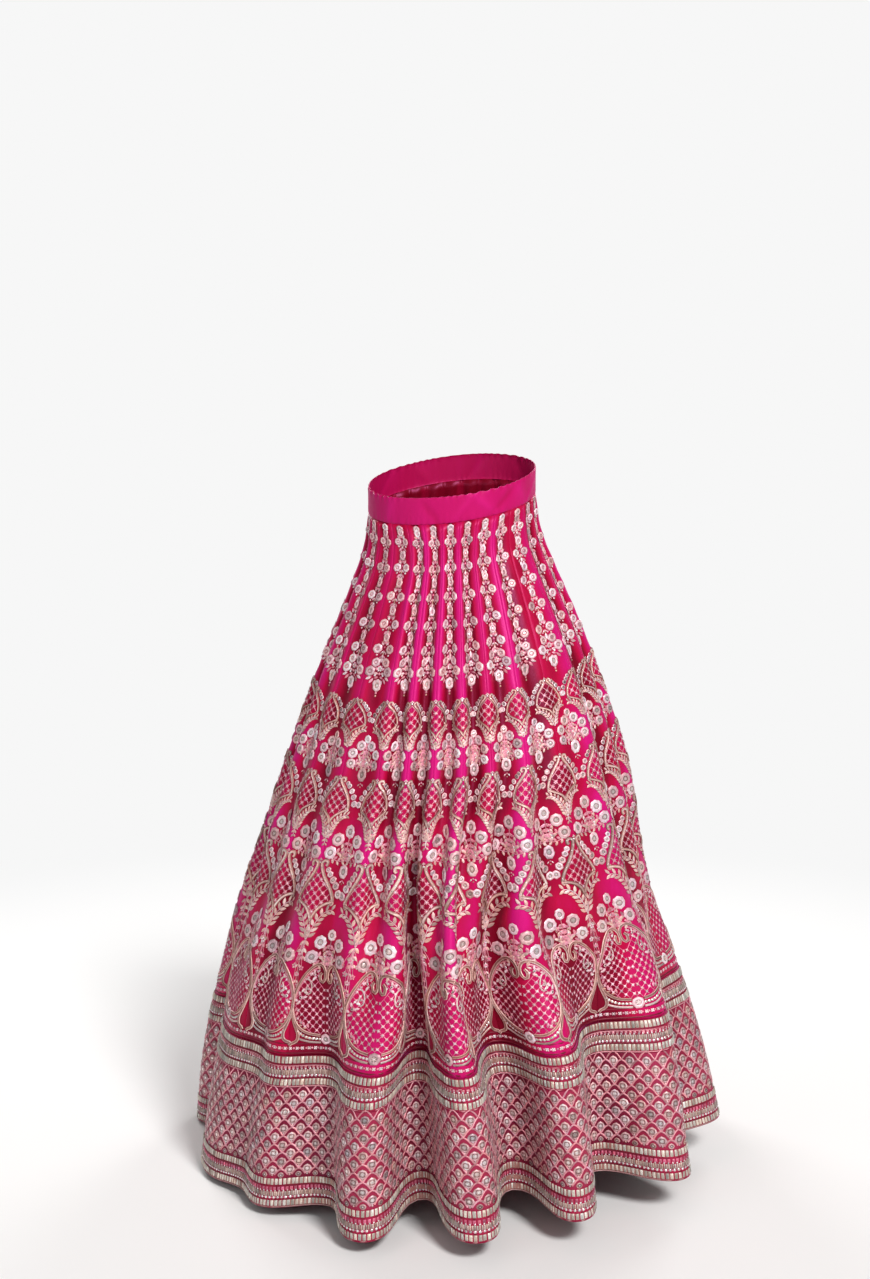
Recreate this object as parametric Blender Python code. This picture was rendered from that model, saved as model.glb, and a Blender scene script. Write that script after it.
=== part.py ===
"""Lehenga skirt: twenty-six flared gores on a straight waistband, with a wide
border sewn round the lower edge and a beaded trim along the top and bottom of
that border.  Metres, +Z up.  The origin is the middle of the waist opening, at
half the height of the waistband; the front faces -Y.

The cloth is one surface of two coordinates.  u runs round the skirt and counts
gores: a whole number is the middle of a gore, a half is a seam.  v runs down
the cloth from the waist seam (0) to the hem (1).  The gores keep their cut
width at every level, so what the skirt's outline doesn't take up goes into
pleats near the waist and into large folds near the hem.
"""
import bpy
import numpy as np
from math import pi

# ---------------------------------------------------------------- sizes (m)
N_GORES = 26
GORE_TOP, GORE_HEM = 0.029, 0.150       # cut width of one gore at waist seam and hem
BAND_H = 0.042                          # waistband height
CLOTH = 0.0020                          # gore and border wall
BAND_WALL = 0.0025                      # waistband wall
TRIM_WALL = 0.0012                      # beaded trims
GAP = 0.0003                            # between neighbouring pieces
SLOPE_WAIST_Y, SLOPE_WAIST_X, SLOPE_HEM_X = 0.22, 0.12, 0.07   # the waist dips to the front and to one side
RIDGE_SAG = 0.10                        # ridges hang this much of their height lower at the hem
TURN_MAX = 1.72                         # steepest turn of a fold's flank, radians
HEM_RADIUS = 0.405                      # mean radius of the hem, for the fold table
FRONT_DEG, FRONT_TWIST = -1.3, 4.2      # where gore 0 stands at the waist, and its drift towards the hem
V_BORDER = 0.780                        # top of the border
V_TRIM_TOP, V_TRIM_HEM = 0.826, 0.957   # lower edge of the top trim, upper edge of the hem trim

# outline, down from the waist seam
SECTIONS = (
    # drop   half_w  depth/width  shift_x
    (0.000, 0.134, 0.78,  0.000),
    (0.060, 0.143, 0.82,  0.000),
    (0.120, 0.166, 0.86,  0.000),
    (0.200, 0.200, 0.88,  0.000),
    (0.300, 0.238, 0.89,  0.000),
    (0.420, 0.279, 0.90, -0.001),
    (0.560, 0.323, 0.92, -0.007),
    (0.700, 0.370, 0.92, -0.013),
    (0.830, 0.408, 0.93, -0.013),
    (0.940, 0.434, 0.94, -0.011),
    (1.055, 0.455, 0.945, -0.008),
)

# large folds: where each ridge, and the valley after it, lie on the cloth (u)
# and stand round the hem (degrees from the front); the v between which the side
# going down to the valley forms, and the v between which the side coming up does
FOLDS = (
    # name ridge_u  deg   valley_u  deg  down0 down1 up0 up1
    ("D",  0.15,   8.6,  1.35,  17.9, .36, .84, .66, 1.0),
    ("E",  2.42,  25.8,  3.32,  39.2, .60, 1.0, .66, 1.0),
    ("F",  4.30,  51.2,  5.25,  63.0, .60, 1.0, .60, 1.0),
    ("G",  6.40,  85.0,  7.40,  99.0, .55, 1.0, .55, 1.0),
    ("H",  8.40, 111.0,  9.40, 123.0, .36, .84, .36, .84),
    ("I", 10.40, 137.0, 11.50, 149.0, .36, .84, .36, .84),
    ("J", 12.60, 163.0, 13.70, 175.0, .36, .84, .36, .84),
    ("K", 14.70, 189.0, 15.80, 202.0, .36, .84, .36, .84),
    ("L", 16.90, 215.0, 18.00, 227.0, .36, .84, .36, .84),
    ("M", 19.00, 240.0, 20.05, 257.0, .45, .95, .45, .95),
    ("A", 20.90, 284.0, 21.75, 304.0, .60, 1.0, .60, 1.0),
    ("B", 22.30, 318.5, 23.05, 335.5, .60, 1.0, .55, .95),
    ("C", 23.97, 349.0, 24.90, 356.6, .36, .84, .36, .84),
)

# pleats, one a gore with its ridge on the seam: the share of the flat width
# that is left after pleating
PLEATS = (
    # u    share
    (-13, .84), (-6, .82), (-4, .98), (-2.7, .98), (-2.3, .52), (-2, .48), (-1, .54),
    (0, .50), (.5, .50), (1, .58), (2, .74), (3, .93), (4, .98), (6, .84), (13, .84),
)
PLEATS_END = (0.36, 0.84)               # the pleats open out between these v
# lower down the ridges wander off the seams, because they hang straight while
# the gores fan out: how far, in gores
DRIFT = (
    (-13, 0), (-2.5, -.15), (-2, -.10), (-1, 0), (0, -.25), (1, -.42), (2, -.35),
    (3, -.20), (4, 0), (13, 0),
)
DRIFT_BETWEEN = (0.32, 0.60)

# facets
COLS = 4                                # columns a gore
GORE_ROWS = 8
BORDER_ROWS = (V_BORDER, V_TRIM_TOP, 0.892, V_TRIM_HEM, 1.0)
N_U = N_GORES * 48                      # steps of the section curve

# ---------------------------------------------------------------- colours
SATIN = (0.68, 0.010, 0.120)
LATTICE = (0.52, 0.10, 0.16)
BEADS = (0.55, 0.42, 0.38)

# ---------------------------------------------------------------- the surface
_bend = np.linspace(0, 2.2, 221)
_part = (np.arange(64) + .5) / 64 * pi
_left = np.cos(_bend[:, None] * np.sin(_part)).mean(1)     # width left by a wave of that bend


def bend_for(share):
    """Largest turn of a sine-generated wave that keeps this share of its flat width."""
    return np.interp(-np.clip(share, .13, .995), -_left, _bend)


def ease(x):
    x = np.clip(x, 0, 1)
    return x * x * (3 - 2 * x)


def hermite(x, xs, ys):
    """Smooth curve through the rows of a table."""
    m = np.gradient(ys, xs)
    i = np.clip(np.searchsorted(xs, x) - 1, 0, len(xs) - 2)
    h = xs[i + 1] - xs[i]
    t = (x - xs[i]) / h
    return ((2 * t**3 - 3 * t**2 + 1) * ys[i] + (t**3 - 2 * t**2 + t) * h * m[i]
            + (-2 * t**3 + 3 * t**2) * ys[i + 1] + (t**3 - t**2) * h * m[i + 1])


_S = np.array(SECTIONS)
_drop = np.linspace(0, _S[-1, 0], 400)
_slant = np.concatenate([[0], np.cumsum(np.hypot(np.diff(_drop), np.diff(hermite(_drop, _S[:, 0], _S[:, 1]))))])
SLANT = _slant[-1]

_F = np.array([row[1:] for row in FOLDS])
_turn_u = np.append(_F[:, [0, 2]].ravel(), _F[0, 0] + N_GORES)
_turn_deg = np.append(_F[:, [1, 3]].ravel(), _F[0, 1] + 360)
_share = np.minimum(np.diff(_turn_deg) * pi / 180 * HEM_RADIUS / (GORE_HEM * np.diff(_turn_u)), .99)
_side = np.where(np.arange(2 * len(FOLDS)) % 2 == 0, -1., 1.)
_from, _to = _F[:, [4, 6]].ravel(), _F[:, [5, 7]].ravel()
_P, _D = np.array(PLEATS), np.array(DRIFT)


def flank_angle(u, v):
    """Angle between the cloth and the smooth outline at u, before the level is closed."""
    um = (u - _turn_u[0]) % N_GORES + _turn_u[0]
    i = np.clip(np.searchsorted(_turn_u, um, side='right') - 1, 0, len(_turn_u) - 2)
    fold = (bend_for(_share ** ease((v - _from) / (_to - _from))) * _side)[i]
    fold = fold * np.sin(pi * (um - _turn_u[i]) / (_turn_u[i + 1] - _turn_u[i]))
    open_ = ease((v - PLEATS_END[0]) / (PLEATS_END[1] - PLEATS_END[0]))
    near = (u + 13) % 26 - 13
    share = np.interp(near, _P[:, 0], _P[:, 1])
    off = np.interp(near, _D[:, 0], _D[:, 1]) * ease((v - DRIFT_BETWEEN[0]) / (DRIFT_BETWEEN[1] - DRIFT_BETWEEN[0]))
    return fold + bend_for(share ** (1 - open_)) * np.sin(2 * pi * (u - off))


def ring(v):
    """The section of the cloth at level v: u, and the points (m)."""
    drop = float(np.interp(v * SLANT, _slant, _drop))
    half, ratio, shift = (float(hermite(drop, _S[:, 0], _S[:, k])) for k in (1, 2, 3))
    width = GORE_TOP + (GORE_HEM - GORE_TOP) * v
    u = np.linspace(0, N_GORES, N_U, endpoint=False)
    angle = flank_angle(u, v)
    around = np.linspace(0, 2 * pi, 1441) - pi / 2
    win = int(round(2.4 * N_U / N_GORES)) | 1
    out = 0.
    for _ in range(4):
        a, b = half - out, half * ratio - out
        ex, ey = a * np.cos(around), b * np.sin(around)
        arc = np.concatenate([[0], np.cumsum(np.hypot(np.diff(ex), np.diff(ey)))])
        lo, hi = 0., 2.5                 # deepen or open all the folds until the cloth closes
        for _ in range(20):
            k = (lo + hi) / 2
            if np.cos(TURN_MAX * np.tanh(k * angle / TURN_MAX)).mean() * N_GORES * width > arc[-1]:
                lo = k
            else:
                hi = k
        psi = TURN_MAX * np.tanh(k * angle / TURN_MAX)
        step = width * N_GORES / N_U
        ds, dn = np.cos(psi) * step, np.sin(psi) * step
        s = np.concatenate([[0], np.cumsum((ds + np.roll(ds, -1)) / 2)])
        n = np.cumsum(dn) - dn / 2
        n = n - (n[-1] + dn[-1] / 2) * np.arange(N_U) / N_U
        n = n - np.convolve(np.concatenate([n[-(win // 2):], n, n[:win // 2]]), np.ones(win) / win, 'valid')
        out = 0.8 * np.sort(n)[int(.96 * N_U)]
    n = np.append(n, n[0])
    turn = (FRONT_DEG + FRONT_TWIST * float(ease((v - .5) / .5))) / 360
    th = np.interp((s / s[-1] + turn) % 1 * arc[-1], arc, around)
    nx, ny = np.cos(th) / a, np.sin(th) / b
    size = np.hypot(nx, ny)
    x = a * np.cos(th) + n * nx / size + shift
    y = b * np.sin(th) + n * ny / size
    z = (-BAND_H / 2 - drop + SLOPE_WAIST_Y * (1 - v)**2 * y
         + (SLOPE_WAIST_X + (SLOPE_HEM_X - SLOPE_WAIST_X) * v) * x - RIDGE_SAG * n * v**2)
    return np.append(u, N_GORES), np.stack([x, y, z], 1)


def pick(section, us):
    u, p = section
    return np.stack([np.interp(us % N_GORES, u, p[:, k]) for k in range(3)], 1)


_levels = {}


def cloth_row(us, v):
    """Points and outward normals of the cloth at u = us on level v."""
    if v not in _levels:
        _levels[v] = [ring(w) for w in (v, max(v - .004, 0), min(v + .004, 1))]
    here, above, below = _levels[v]
    p = pick(here, us)
    du = pick(here, us + .03) - pick(here, us - .03)
    dv = pick(below, us) - pick(above, us)
    nrm = np.cross(dv, du)
    return p, nrm / np.linalg.norm(nrm, axis=1)[:, None]


def band_row(us, h):
    """Points and outward normals of the waistband at height h above its middle."""
    u, p = ring(0.)
    q = pick((u, p), us)
    th = np.arctan2(q[:, 1] / SECTIONS[0][2], q[:, 0])
    half, ratio = SECTIONS[0][1] + .0004, SECTIONS[0][2]
    x, y = half * np.cos(th), half * ratio * np.sin(th)
    nrm = np.stack([np.cos(th), np.sin(th) / ratio, 0 * th], 1)
    nrm /= np.linalg.norm(nrm, axis=1)[:, None]
    nrm[:, 2] = SLOPE_WAIST_Y * nrm[:, 1] + SLOPE_WAIST_X * nrm[:, 0]     # the cut edges lie in the tilted plane
    return np.stack([x, y, h + SLOPE_WAIST_Y * y + SLOPE_WAIST_X * x], 1), nrm


# ---------------------------------------------------------------- pieces
def wall(name, rows, inner, outer, material, flat=False):
    """A closed wall from rows of (points, normals): its faces lie inner and outer
    along the normals.  Every piece splits its quads the same way, so pieces made
    from the same rows stay parallel."""
    nr, nc = len(rows), len(rows[0][0])
    pts = [p + n * off for off in (outer, inner) for p, n in rows]
    verts = np.concatenate(pts)
    def idx(side, r, c):
        return side * nr * nc + r * nc + c
    faces = []
    for r in range(nr - 1):
        for c in range(nc - 1):
            for side in (0, 1):
                q = [idx(side, r, c), idx(side, r + 1, c), idx(side, r + 1, c + 1), idx(side, r, c + 1)]
                if side:
                    faces += [(q[0], q[2], q[1]), (q[0], q[3], q[2])]
                else:
                    faces += [(q[0], q[1], q[2]), (q[0], q[2], q[3])]
    for c in range(nc - 1):
        for r in (0, nr - 1):
            a, b = idx(0, r, c), idx(0, r, c + 1)
            c2, d = idx(1, r, c + 1), idx(1, r, c)
            faces += [(a, b, c2), (a, c2, d)] if r == 0 else [(b, a, c2), (c2, a, d)]
    for r in range(nr - 1):
        for c in (0, nc - 1):
            a, b = idx(0, r, c), idx(0, r + 1, c)
            c2, d = idx(1, r + 1, c), idx(1, r, c)
            faces += [(b, a, c2), (c2, a, d)] if c == 0 else [(a, b, c2), (a, c2, d)]
    mesh = bpy.data.meshes.new(name)
    mesh.from_pydata([tuple(v) for v in verts], [], faces)
    mesh.materials.append(material)
    if not flat:
        mesh.shade_smooth()
        mesh.set_sharp_from_angle(angle=0.9)
    obj = bpy.data.objects.new(name, mesh)
    collection.objects.link(obj)
    obj.parent = waist
    return obj


def satin(name, colour, rough, metal=0.0):
    mat = bpy.data.materials.new(name)
    mat.use_nodes = True
    bsdf = mat.node_tree.nodes["Principled BSDF"]
    bsdf.inputs["Base Color"].default_value = (*colour, 1)
    bsdf.inputs["Roughness"].default_value = rough
    bsdf.inputs["Metallic"].default_value = metal
    return mat


for old in list(bpy.data.objects):
    bpy.data.objects.remove(old, do_unlink=True)
collection = bpy.data.collections.new("lehenga_skirt")
bpy.context.scene.collection.children.link(collection)
waist = bpy.data.objects.new("waist", None)
collection.objects.link(waist)

m_satin = satin("satin", SATIN, 0.38)
m_border = satin("border", LATTICE, 0.5)
m_trim = satin("trim", BEADS, 0.35, 0.5)
m_band = satin("waistband", SATIN, 0.36)

# gores: the cut edges stay half a gap back from each seam
seam_v = GAP / 2 / SLANT
gore_v = np.linspace(2 * GAP / SLANT, V_BORDER - seam_v, GORE_ROWS + 1)
for k in range(N_GORES):
    rows = []
    for v in gore_v:
        du = GAP / 2 / (GORE_TOP + (GORE_HEM - GORE_TOP) * v)
        us = k + np.linspace(-.5, .5, COLS + 1)
        us[0] += du
        us[-1] -= du
        rows.append(cloth_row(us, float(v)))
    wall(f"kali_{k + 1:02d}", rows, -CLOTH, 0, m_satin)

# border and its two trims, in four lengths
LENGTHS = (
    # name    from_u  to_u
    ("front", -3.5,   3.5),
    ("right",  3.5,   9.5),
    ("back",   9.5,  16.5),
    ("left",  16.5,  22.5),
)


def long_rows(u0, u1, vs):
    rows = []
    for v in vs:
        du = GAP / 2 / (GORE_TOP + (GORE_HEM - GORE_TOP) * v)
        us = np.linspace(u0, u1, int(round((u1 - u0) * COLS)) + 1)
        us[0] += du
        us[-1] -= du
        rows.append(cloth_row(us, float(v)))
    return rows


border_v = list(BORDER_ROWS)
border_v[0] += seam_v
for name, u0, u1 in LENGTHS:
    rows = long_rows(u0, u1, border_v)
    wall("border_" + name, rows, -CLOTH, 0, m_border)
    wall("top_trim_" + name, rows[:2], GAP, GAP + TRIM_WALL, m_trim)
    wall("hem_trim_" + name, rows[3:], GAP, GAP + TRIM_WALL, m_trim)

# waistband, joined at the two sides
side = GAP / 2 / GORE_TOP
for name, u0, u1 in (("front", -6.5, 6.5), ("back", 6.5, 19.5)):
    us = np.linspace(u0 + side, u1 - side, 27)
    rows = [band_row(us, h) for h in (BAND_H / 2, -BAND_H / 2)]
    wall("waistband_" + name, rows, -BAND_WALL, 0, m_band)
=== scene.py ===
"""Lehenga skirt: the looks.  The cloth is one surface of (u, v): u runs round the
skirt and counts its 26 gores (whole = middle of a gore, half = seam), v runs from
the waist seam (0) to the hem (1).  The same surface carries the shells of the
gores, border, trims and waistband, and all the embroidery on them."""
import bpy
import numpy as np
from math import pi, radians, tan
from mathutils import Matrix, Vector


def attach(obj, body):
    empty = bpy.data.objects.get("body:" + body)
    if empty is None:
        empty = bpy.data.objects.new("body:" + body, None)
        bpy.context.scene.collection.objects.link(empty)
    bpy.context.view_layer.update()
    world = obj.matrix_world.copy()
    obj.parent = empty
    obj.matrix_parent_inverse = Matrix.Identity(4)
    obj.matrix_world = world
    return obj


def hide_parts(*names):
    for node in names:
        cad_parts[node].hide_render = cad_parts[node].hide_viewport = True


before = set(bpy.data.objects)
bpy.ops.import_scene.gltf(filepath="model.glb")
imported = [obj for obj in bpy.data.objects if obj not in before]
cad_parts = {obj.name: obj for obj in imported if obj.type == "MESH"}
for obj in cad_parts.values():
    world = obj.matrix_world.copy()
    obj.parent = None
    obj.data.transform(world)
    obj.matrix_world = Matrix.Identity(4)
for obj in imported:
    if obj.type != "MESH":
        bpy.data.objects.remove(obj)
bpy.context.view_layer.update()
rng = np.random.default_rng(26)

# ------------------------------------------------------------------ sizes (m), as the solids have them
N_GORES = 26
GORE_TOP, GORE_HEM = 0.029, 0.150
BAND_H = 0.042
SLOPE_WAIST_Y, SLOPE_WAIST_X, SLOPE_HEM_X = 0.22, 0.12, 0.07
RIDGE_SAG = 0.10
TURN_MAX = 1.72
HEM_RADIUS = 0.405
FRONT_DEG, FRONT_TWIST = -1.3, 4.2
V_BORDER, V_TRIM_TOP, V_TRIM_HEM = 0.780, 0.826, 0.957

SECTIONS = (
    # drop   half_w  depth/width  shift_x
    (0.000, 0.134, 0.78,  0.000),
    (0.060, 0.143, 0.82,  0.000),
    (0.120, 0.166, 0.86,  0.000),
    (0.200, 0.200, 0.88,  0.000),
    (0.300, 0.238, 0.89,  0.000),
    (0.420, 0.279, 0.90, -0.001),
    (0.560, 0.323, 0.92, -0.007),
    (0.700, 0.370, 0.92, -0.013),
    (0.830, 0.408, 0.93, -0.013),
    (0.940, 0.434, 0.94, -0.011),
    (1.055, 0.455, 0.945, -0.008),
)
FOLDS = (
    # name ridge_u  deg   valley_u  deg  down0 down1 up0 up1
    ("D",  0.15,   8.6,  1.35,  17.9, .36, .84, .66, 1.0),
    ("E",  2.42,  25.8,  3.32,  39.2, .60, 1.0, .66, 1.0),
    ("F",  4.30,  51.2,  5.25,  63.0, .60, 1.0, .60, 1.0),
    ("G",  6.40,  85.0,  7.40,  99.0, .55, 1.0, .55, 1.0),
    ("H",  8.40, 111.0,  9.40, 123.0, .36, .84, .36, .84),
    ("I", 10.40, 137.0, 11.50, 149.0, .36, .84, .36, .84),
    ("J", 12.60, 163.0, 13.70, 175.0, .36, .84, .36, .84),
    ("K", 14.70, 189.0, 15.80, 202.0, .36, .84, .36, .84),
    ("L", 16.90, 215.0, 18.00, 227.0, .36, .84, .36, .84),
    ("M", 19.00, 240.0, 20.05, 257.0, .45, .95, .45, .95),
    ("A", 20.90, 284.0, 21.75, 304.0, .60, 1.0, .60, 1.0),
    ("B", 22.30, 318.5, 23.05, 335.5, .60, 1.0, .55, .95),
    ("C", 23.97, 349.0, 24.90, 356.6, .36, .84, .36, .84),
)
PLEATS = (
    # u    share of the flat width left after pleating
    (-13, .84), (-6, .82), (-4, .98), (-2.7, .98), (-2.3, .52), (-2, .48), (-1, .54),
    (0, .50), (.5, .50), (1, .58), (2, .74), (3, .93), (4, .98), (6, .84), (13, .84),
)
PLEATS_END = (0.36, 0.84)
DRIFT = (
    (-13, 0), (-2.5, -.15), (-2, -.10), (-1, 0), (0, -.25), (1, -.42), (2, -.35),
    (3, -.20), (4, 0), (13, 0),
)
DRIFT_BETWEEN = (0.32, 0.60)

# ------------------------------------------------------------------ the surface
_bend = np.linspace(0, 2.2, 221)
_part = (np.arange(64) + .5) / 64 * pi
_left = np.cos(_bend[:, None] * np.sin(_part)).mean(1)


def bend_for(share):
    return np.interp(-np.clip(share, .13, .995), -_left, _bend)


def ease(x):
    x = np.clip(x, 0, 1)
    return x * x * (3 - 2 * x)


def hermite(x, xs, ys):
    m = np.gradient(ys, xs)
    i = np.clip(np.searchsorted(xs, x) - 1, 0, len(xs) - 2)
    h = xs[i + 1] - xs[i]
    t = (x - xs[i]) / h
    return ((2 * t**3 - 3 * t**2 + 1) * ys[i] + (t**3 - 2 * t**2 + t) * h * m[i]
            + (-2 * t**3 + 3 * t**2) * ys[i + 1] + (t**3 - t**2) * h * m[i + 1])


_S = np.array(SECTIONS)
_drop = np.linspace(0, _S[-1, 0], 400)
_slant = np.concatenate([[0], np.cumsum(np.hypot(np.diff(_drop), np.diff(hermite(_drop, _S[:, 0], _S[:, 1]))))])
SLANT = float(_slant[-1])
_F = np.array([row[1:] for row in FOLDS])
_turn_u = np.append(_F[:, [0, 2]].ravel(), _F[0, 0] + N_GORES)
_turn_deg = np.append(_F[:, [1, 3]].ravel(), _F[0, 1] + 360)
_share = np.minimum(np.diff(_turn_deg) * pi / 180 * HEM_RADIUS / (GORE_HEM * np.diff(_turn_u)), .99)
_side = np.where(np.arange(2 * len(FOLDS)) % 2 == 0, -1., 1.)
_from, _to = _F[:, [4, 6]].ravel(), _F[:, [5, 7]].ravel()
_P, _D = np.array(PLEATS), np.array(DRIFT)
N_U = N_GORES * 48


def flank_angle(u, v):
    um = (u - _turn_u[0]) % N_GORES + _turn_u[0]
    i = np.clip(np.searchsorted(_turn_u, um, side='right') - 1, 0, len(_turn_u) - 2)
    fold = (bend_for(_share ** ease((v - _from) / (_to - _from))) * _side)[i]
    fold = fold * np.sin(pi * (um - _turn_u[i]) / (_turn_u[i + 1] - _turn_u[i]))
    open_ = ease((v - PLEATS_END[0]) / (PLEATS_END[1] - PLEATS_END[0]))
    near = (u + 13) % 26 - 13
    share = np.interp(near, _P[:, 0], _P[:, 1])
    off = np.interp(near, _D[:, 0], _D[:, 1]) * ease((v - DRIFT_BETWEEN[0]) / (DRIFT_BETWEEN[1] - DRIFT_BETWEEN[0]))
    return fold + bend_for(share ** (1 - open_)) * np.sin(2 * pi * (u - off))


def ring(v):
    """The section of the cloth at level v: points, height over the outline, flank angle."""
    drop = float(np.interp(v * SLANT, _slant, _drop))
    half, ratio, shift = (float(hermite(drop, _S[:, 0], _S[:, k])) for k in (1, 2, 3))
    width = GORE_TOP + (GORE_HEM - GORE_TOP) * v
    u = np.linspace(0, N_GORES, N_U, endpoint=False)
    angle = flank_angle(u, v)
    around = np.linspace(0, 2 * pi, 1441) - pi / 2
    win = int(round(2.4 * N_U / N_GORES)) | 1
    out = 0.
    for _ in range(4):
        a, b = half - out, half * ratio - out
        ex, ey = a * np.cos(around), b * np.sin(around)
        arc = np.concatenate([[0], np.cumsum(np.hypot(np.diff(ex), np.diff(ey)))])
        lo, hi = 0., 2.5
        for _ in range(20):
            k = (lo + hi) / 2
            if np.cos(TURN_MAX * np.tanh(k * angle / TURN_MAX)).mean() * N_GORES * width > arc[-1]:
                lo = k
            else:
                hi = k
        psi = TURN_MAX * np.tanh(k * angle / TURN_MAX)
        step = width * N_GORES / N_U
        ds, dn = np.cos(psi) * step, np.sin(psi) * step
        s = np.concatenate([[0], np.cumsum((ds + np.roll(ds, -1)) / 2)])
        n = np.cumsum(dn) - dn / 2
        n = n - (n[-1] + dn[-1] / 2) * np.arange(N_U) / N_U
        n = n - np.convolve(np.concatenate([n[-(win // 2):], n, n[:win // 2]]), np.ones(win) / win, 'valid')
        out = 0.8 * np.sort(n)[int(.96 * N_U)]
    n = np.append(n, n[0])
    turn = (FRONT_DEG + FRONT_TWIST * float(ease((v - .5) / .5))) / 360
    th = np.interp((s / s[-1] + turn) % 1 * arc[-1], arc, around)
    nx, ny = np.cos(th) / a, np.sin(th) / b
    size = np.hypot(nx, ny)
    x = a * np.cos(th) + n * nx / size + shift
    y = b * np.sin(th) + n * ny / size
    z = (-BAND_H / 2 - drop + SLOPE_WAIST_Y * (1 - v)**2 * y
         + (SLOPE_WAIST_X + (SLOPE_HEM_X - SLOPE_WAIST_X) * v) * x - RIDGE_SAG * n * v**2)
    return np.stack([x, y, z], 1), n, np.append(psi, psi[0])


# a fine grid of the whole surface, read by interpolation from here on
N_V = 300
_rings = [ring(v) for v in np.linspace(0, 1, N_V + 1)]
GRID = np.stack([r[0] for r in _rings])
HEIGHT = np.stack([r[1] for r in _rings])
GU = np.linspace(0, N_GORES, N_U + 1)
GV = np.linspace(0, 1, N_V + 1)


def normals_of(grid):
    g = grid[:, :-1]
    du = np.roll(g, -1, 1) - np.roll(g, 1, 1)
    dv = np.gradient(g, axis=0)
    n = np.cross(dv, du)
    n /= np.linalg.norm(n, axis=2)[..., None]
    return np.concatenate([n, n[:, :1]], 1)


def width_at(v):
    return GORE_TOP + (GORE_HEM - GORE_TOP) * v


# ------------------------------------------------------------------ creases
# soft troughs (-) and ridges (+) laid on the cloth on the front
CREASES = (
    # u      v0    v1    lean   depth_mm width_mm
    (-2.62, 0.02, 0.24, 0.10, -1.6, 4.0), (-2.40, 0.03, 0.17, -.05, 1.2, 3.0),
    (-1.55, 0.01, 0.20, 0.06, -1.4, 3.5), (-1.38, 0.05, 0.30, 0.05, 1.0, 3.0),
    (-0.60, 0.02, 0.16, -.06, -1.5, 3.5), (-0.42, 0.01, 0.26, 0.04, 1.2, 3.0),
    (0.40, 0.01, 0.22, 0.05, -1.4, 3.5), (0.60, 0.04, 0.18, -.04, 1.3, 3.0),
    (1.36, 0.02, 0.25, 0.08, -1.7, 4.0), (1.58, 0.01, 0.15, 0.00, 1.2, 3.0),
    (2.38, 0.03, 0.28, 0.08, -1.6, 4.5), (2.62, 0.02, 0.20, 0.04, 1.4, 3.5),
    (3.40, 0.02, 0.22, 0.10, -1.5, 4.5), (3.60, 0.06, 0.30, 0.06, 1.2, 4.0),
    (4.45, 0.04, 0.26, 0.08, -1.4, 4.5), (-3.55, 0.04, 0.30, -.08, -1.6, 4.5),
    (-4.45, 0.08, 0.34, -.06, -1.4, 5.0), (-3.35, 0.12, 0.40, -.10, 1.3, 5.0),
    (-2.15, 0.44, 0.60, 0.12, -1.8, 6.0), (-0.78, 0.34, 0.47, 0.10, -1.5, 5.0),
    (1.80, 0.36, 0.52, -.10, -1.6, 6.0), (2.85, 0.42, 0.58, 0.12, -1.8, 7.0),
    (3.75, 0.40, 0.56, -.12, -1.6, 7.0), (0.78, 0.48, 0.62, 0.10, 1.6, 6.0),
    (-3.20, 0.50, 0.66, -.14, -2.0, 8.0), (-4.30, 0.48, 0.66, 0.10, -1.8, 8.0),
    (2.10, 0.56, 0.70, 0.16, 1.8, 8.0), (4.10, 0.58, 0.72, -.14, -2.0, 8.0),
    (-1.62, 0.62, 0.74, 0.14, -1.6, 7.0), (3.10, 0.60, 0.75, 0.10, -1.8, 8.0),
    (-4.55, 0.80, 0.97, 0.10, -2.2, 11.0), (-3.25, 0.82, 0.99, -.12, -2.0, 10.0),
    (0.60, 0.80, 0.96, 0.10, 1.6, 9.0), (2.95, 0.84, 1.00, 0.10, -2.0, 10.0),
    (4.60, 0.82, 0.98, -.10, -2.2, 11.0), (-1.45, 0.82, 0.95, 0.08, 1.6, 8.0),
    (-3.60, 0.54, 0.80, 0.16, -3.4, 14.0), (-2.70, 0.58, 0.84, -.12, 3.0, 13.0), (-2.32, 0.50, 0.76, 0.10, -3.2, 12.0),
    (-1.10, 0.46, 0.70, -.08, -3.0, 11.0), (-0.55, 0.56, 0.79, 0.10, 2.8, 12.0), (0.55, 0.52, 0.74, 0.12, -3.0, 12.0),
    (1.62, 0.50, 0.78, -.10, -3.4, 13.0), (2.38, 0.60, 0.86, 0.14, 3.0, 14.0), (2.75, 0.52, 0.74, -.10, -3.2, 13.0),
    (3.40, 0.56, 0.84, 0.16, -3.6, 15.0), (4.30, 0.50, 0.72, -.12, 3.0, 14.0), (-4.10, 0.60, 0.88, 0.12, -3.6, 16.0),
    (-4.75, 0.48, 0.70, -.10, -3.0, 14.0), (4.85, 0.60, 0.86, 0.10, -3.4, 16.0), (-3.00, 0.84, 1.00, 0.06, 2.6, 13.0),
    (2.20, 0.86, 1.00, -.06, -2.8, 13.0), (3.60, 0.85, 1.00, 0.08, 2.6, 14.0), (-4.20, 0.84, 1.00, 0.08, -3.0, 14.0),
)
hidden = []                       # the sides and back carry similar ones, each a little different
for k in range(6, 21):
    for _ in range(3):
        v0 = rng.choice([rng.uniform(.01, .1), rng.uniform(.3, .6), rng.uniform(.6, .84)])
        hidden.append((k - .5 + rng.uniform(0, 1), v0, v0 + rng.uniform(.12, .24), rng.uniform(-.14, .14),
                       rng.choice([-1, -1, 1]) * rng.uniform(1.2, 2.2), 3.5 + 8 * v0 + rng.uniform(0, 2)))
    v0 = rng.uniform(.46, .66)
    hidden.append((k - .5 + rng.uniform(0, 1), v0, v0 + rng.uniform(.20, .28), rng.uniform(-.16, .16), rng.choice([-1, -1, 1]) * rng.uniform(2.6, 3.6), rng.uniform(12, 16)))
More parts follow.
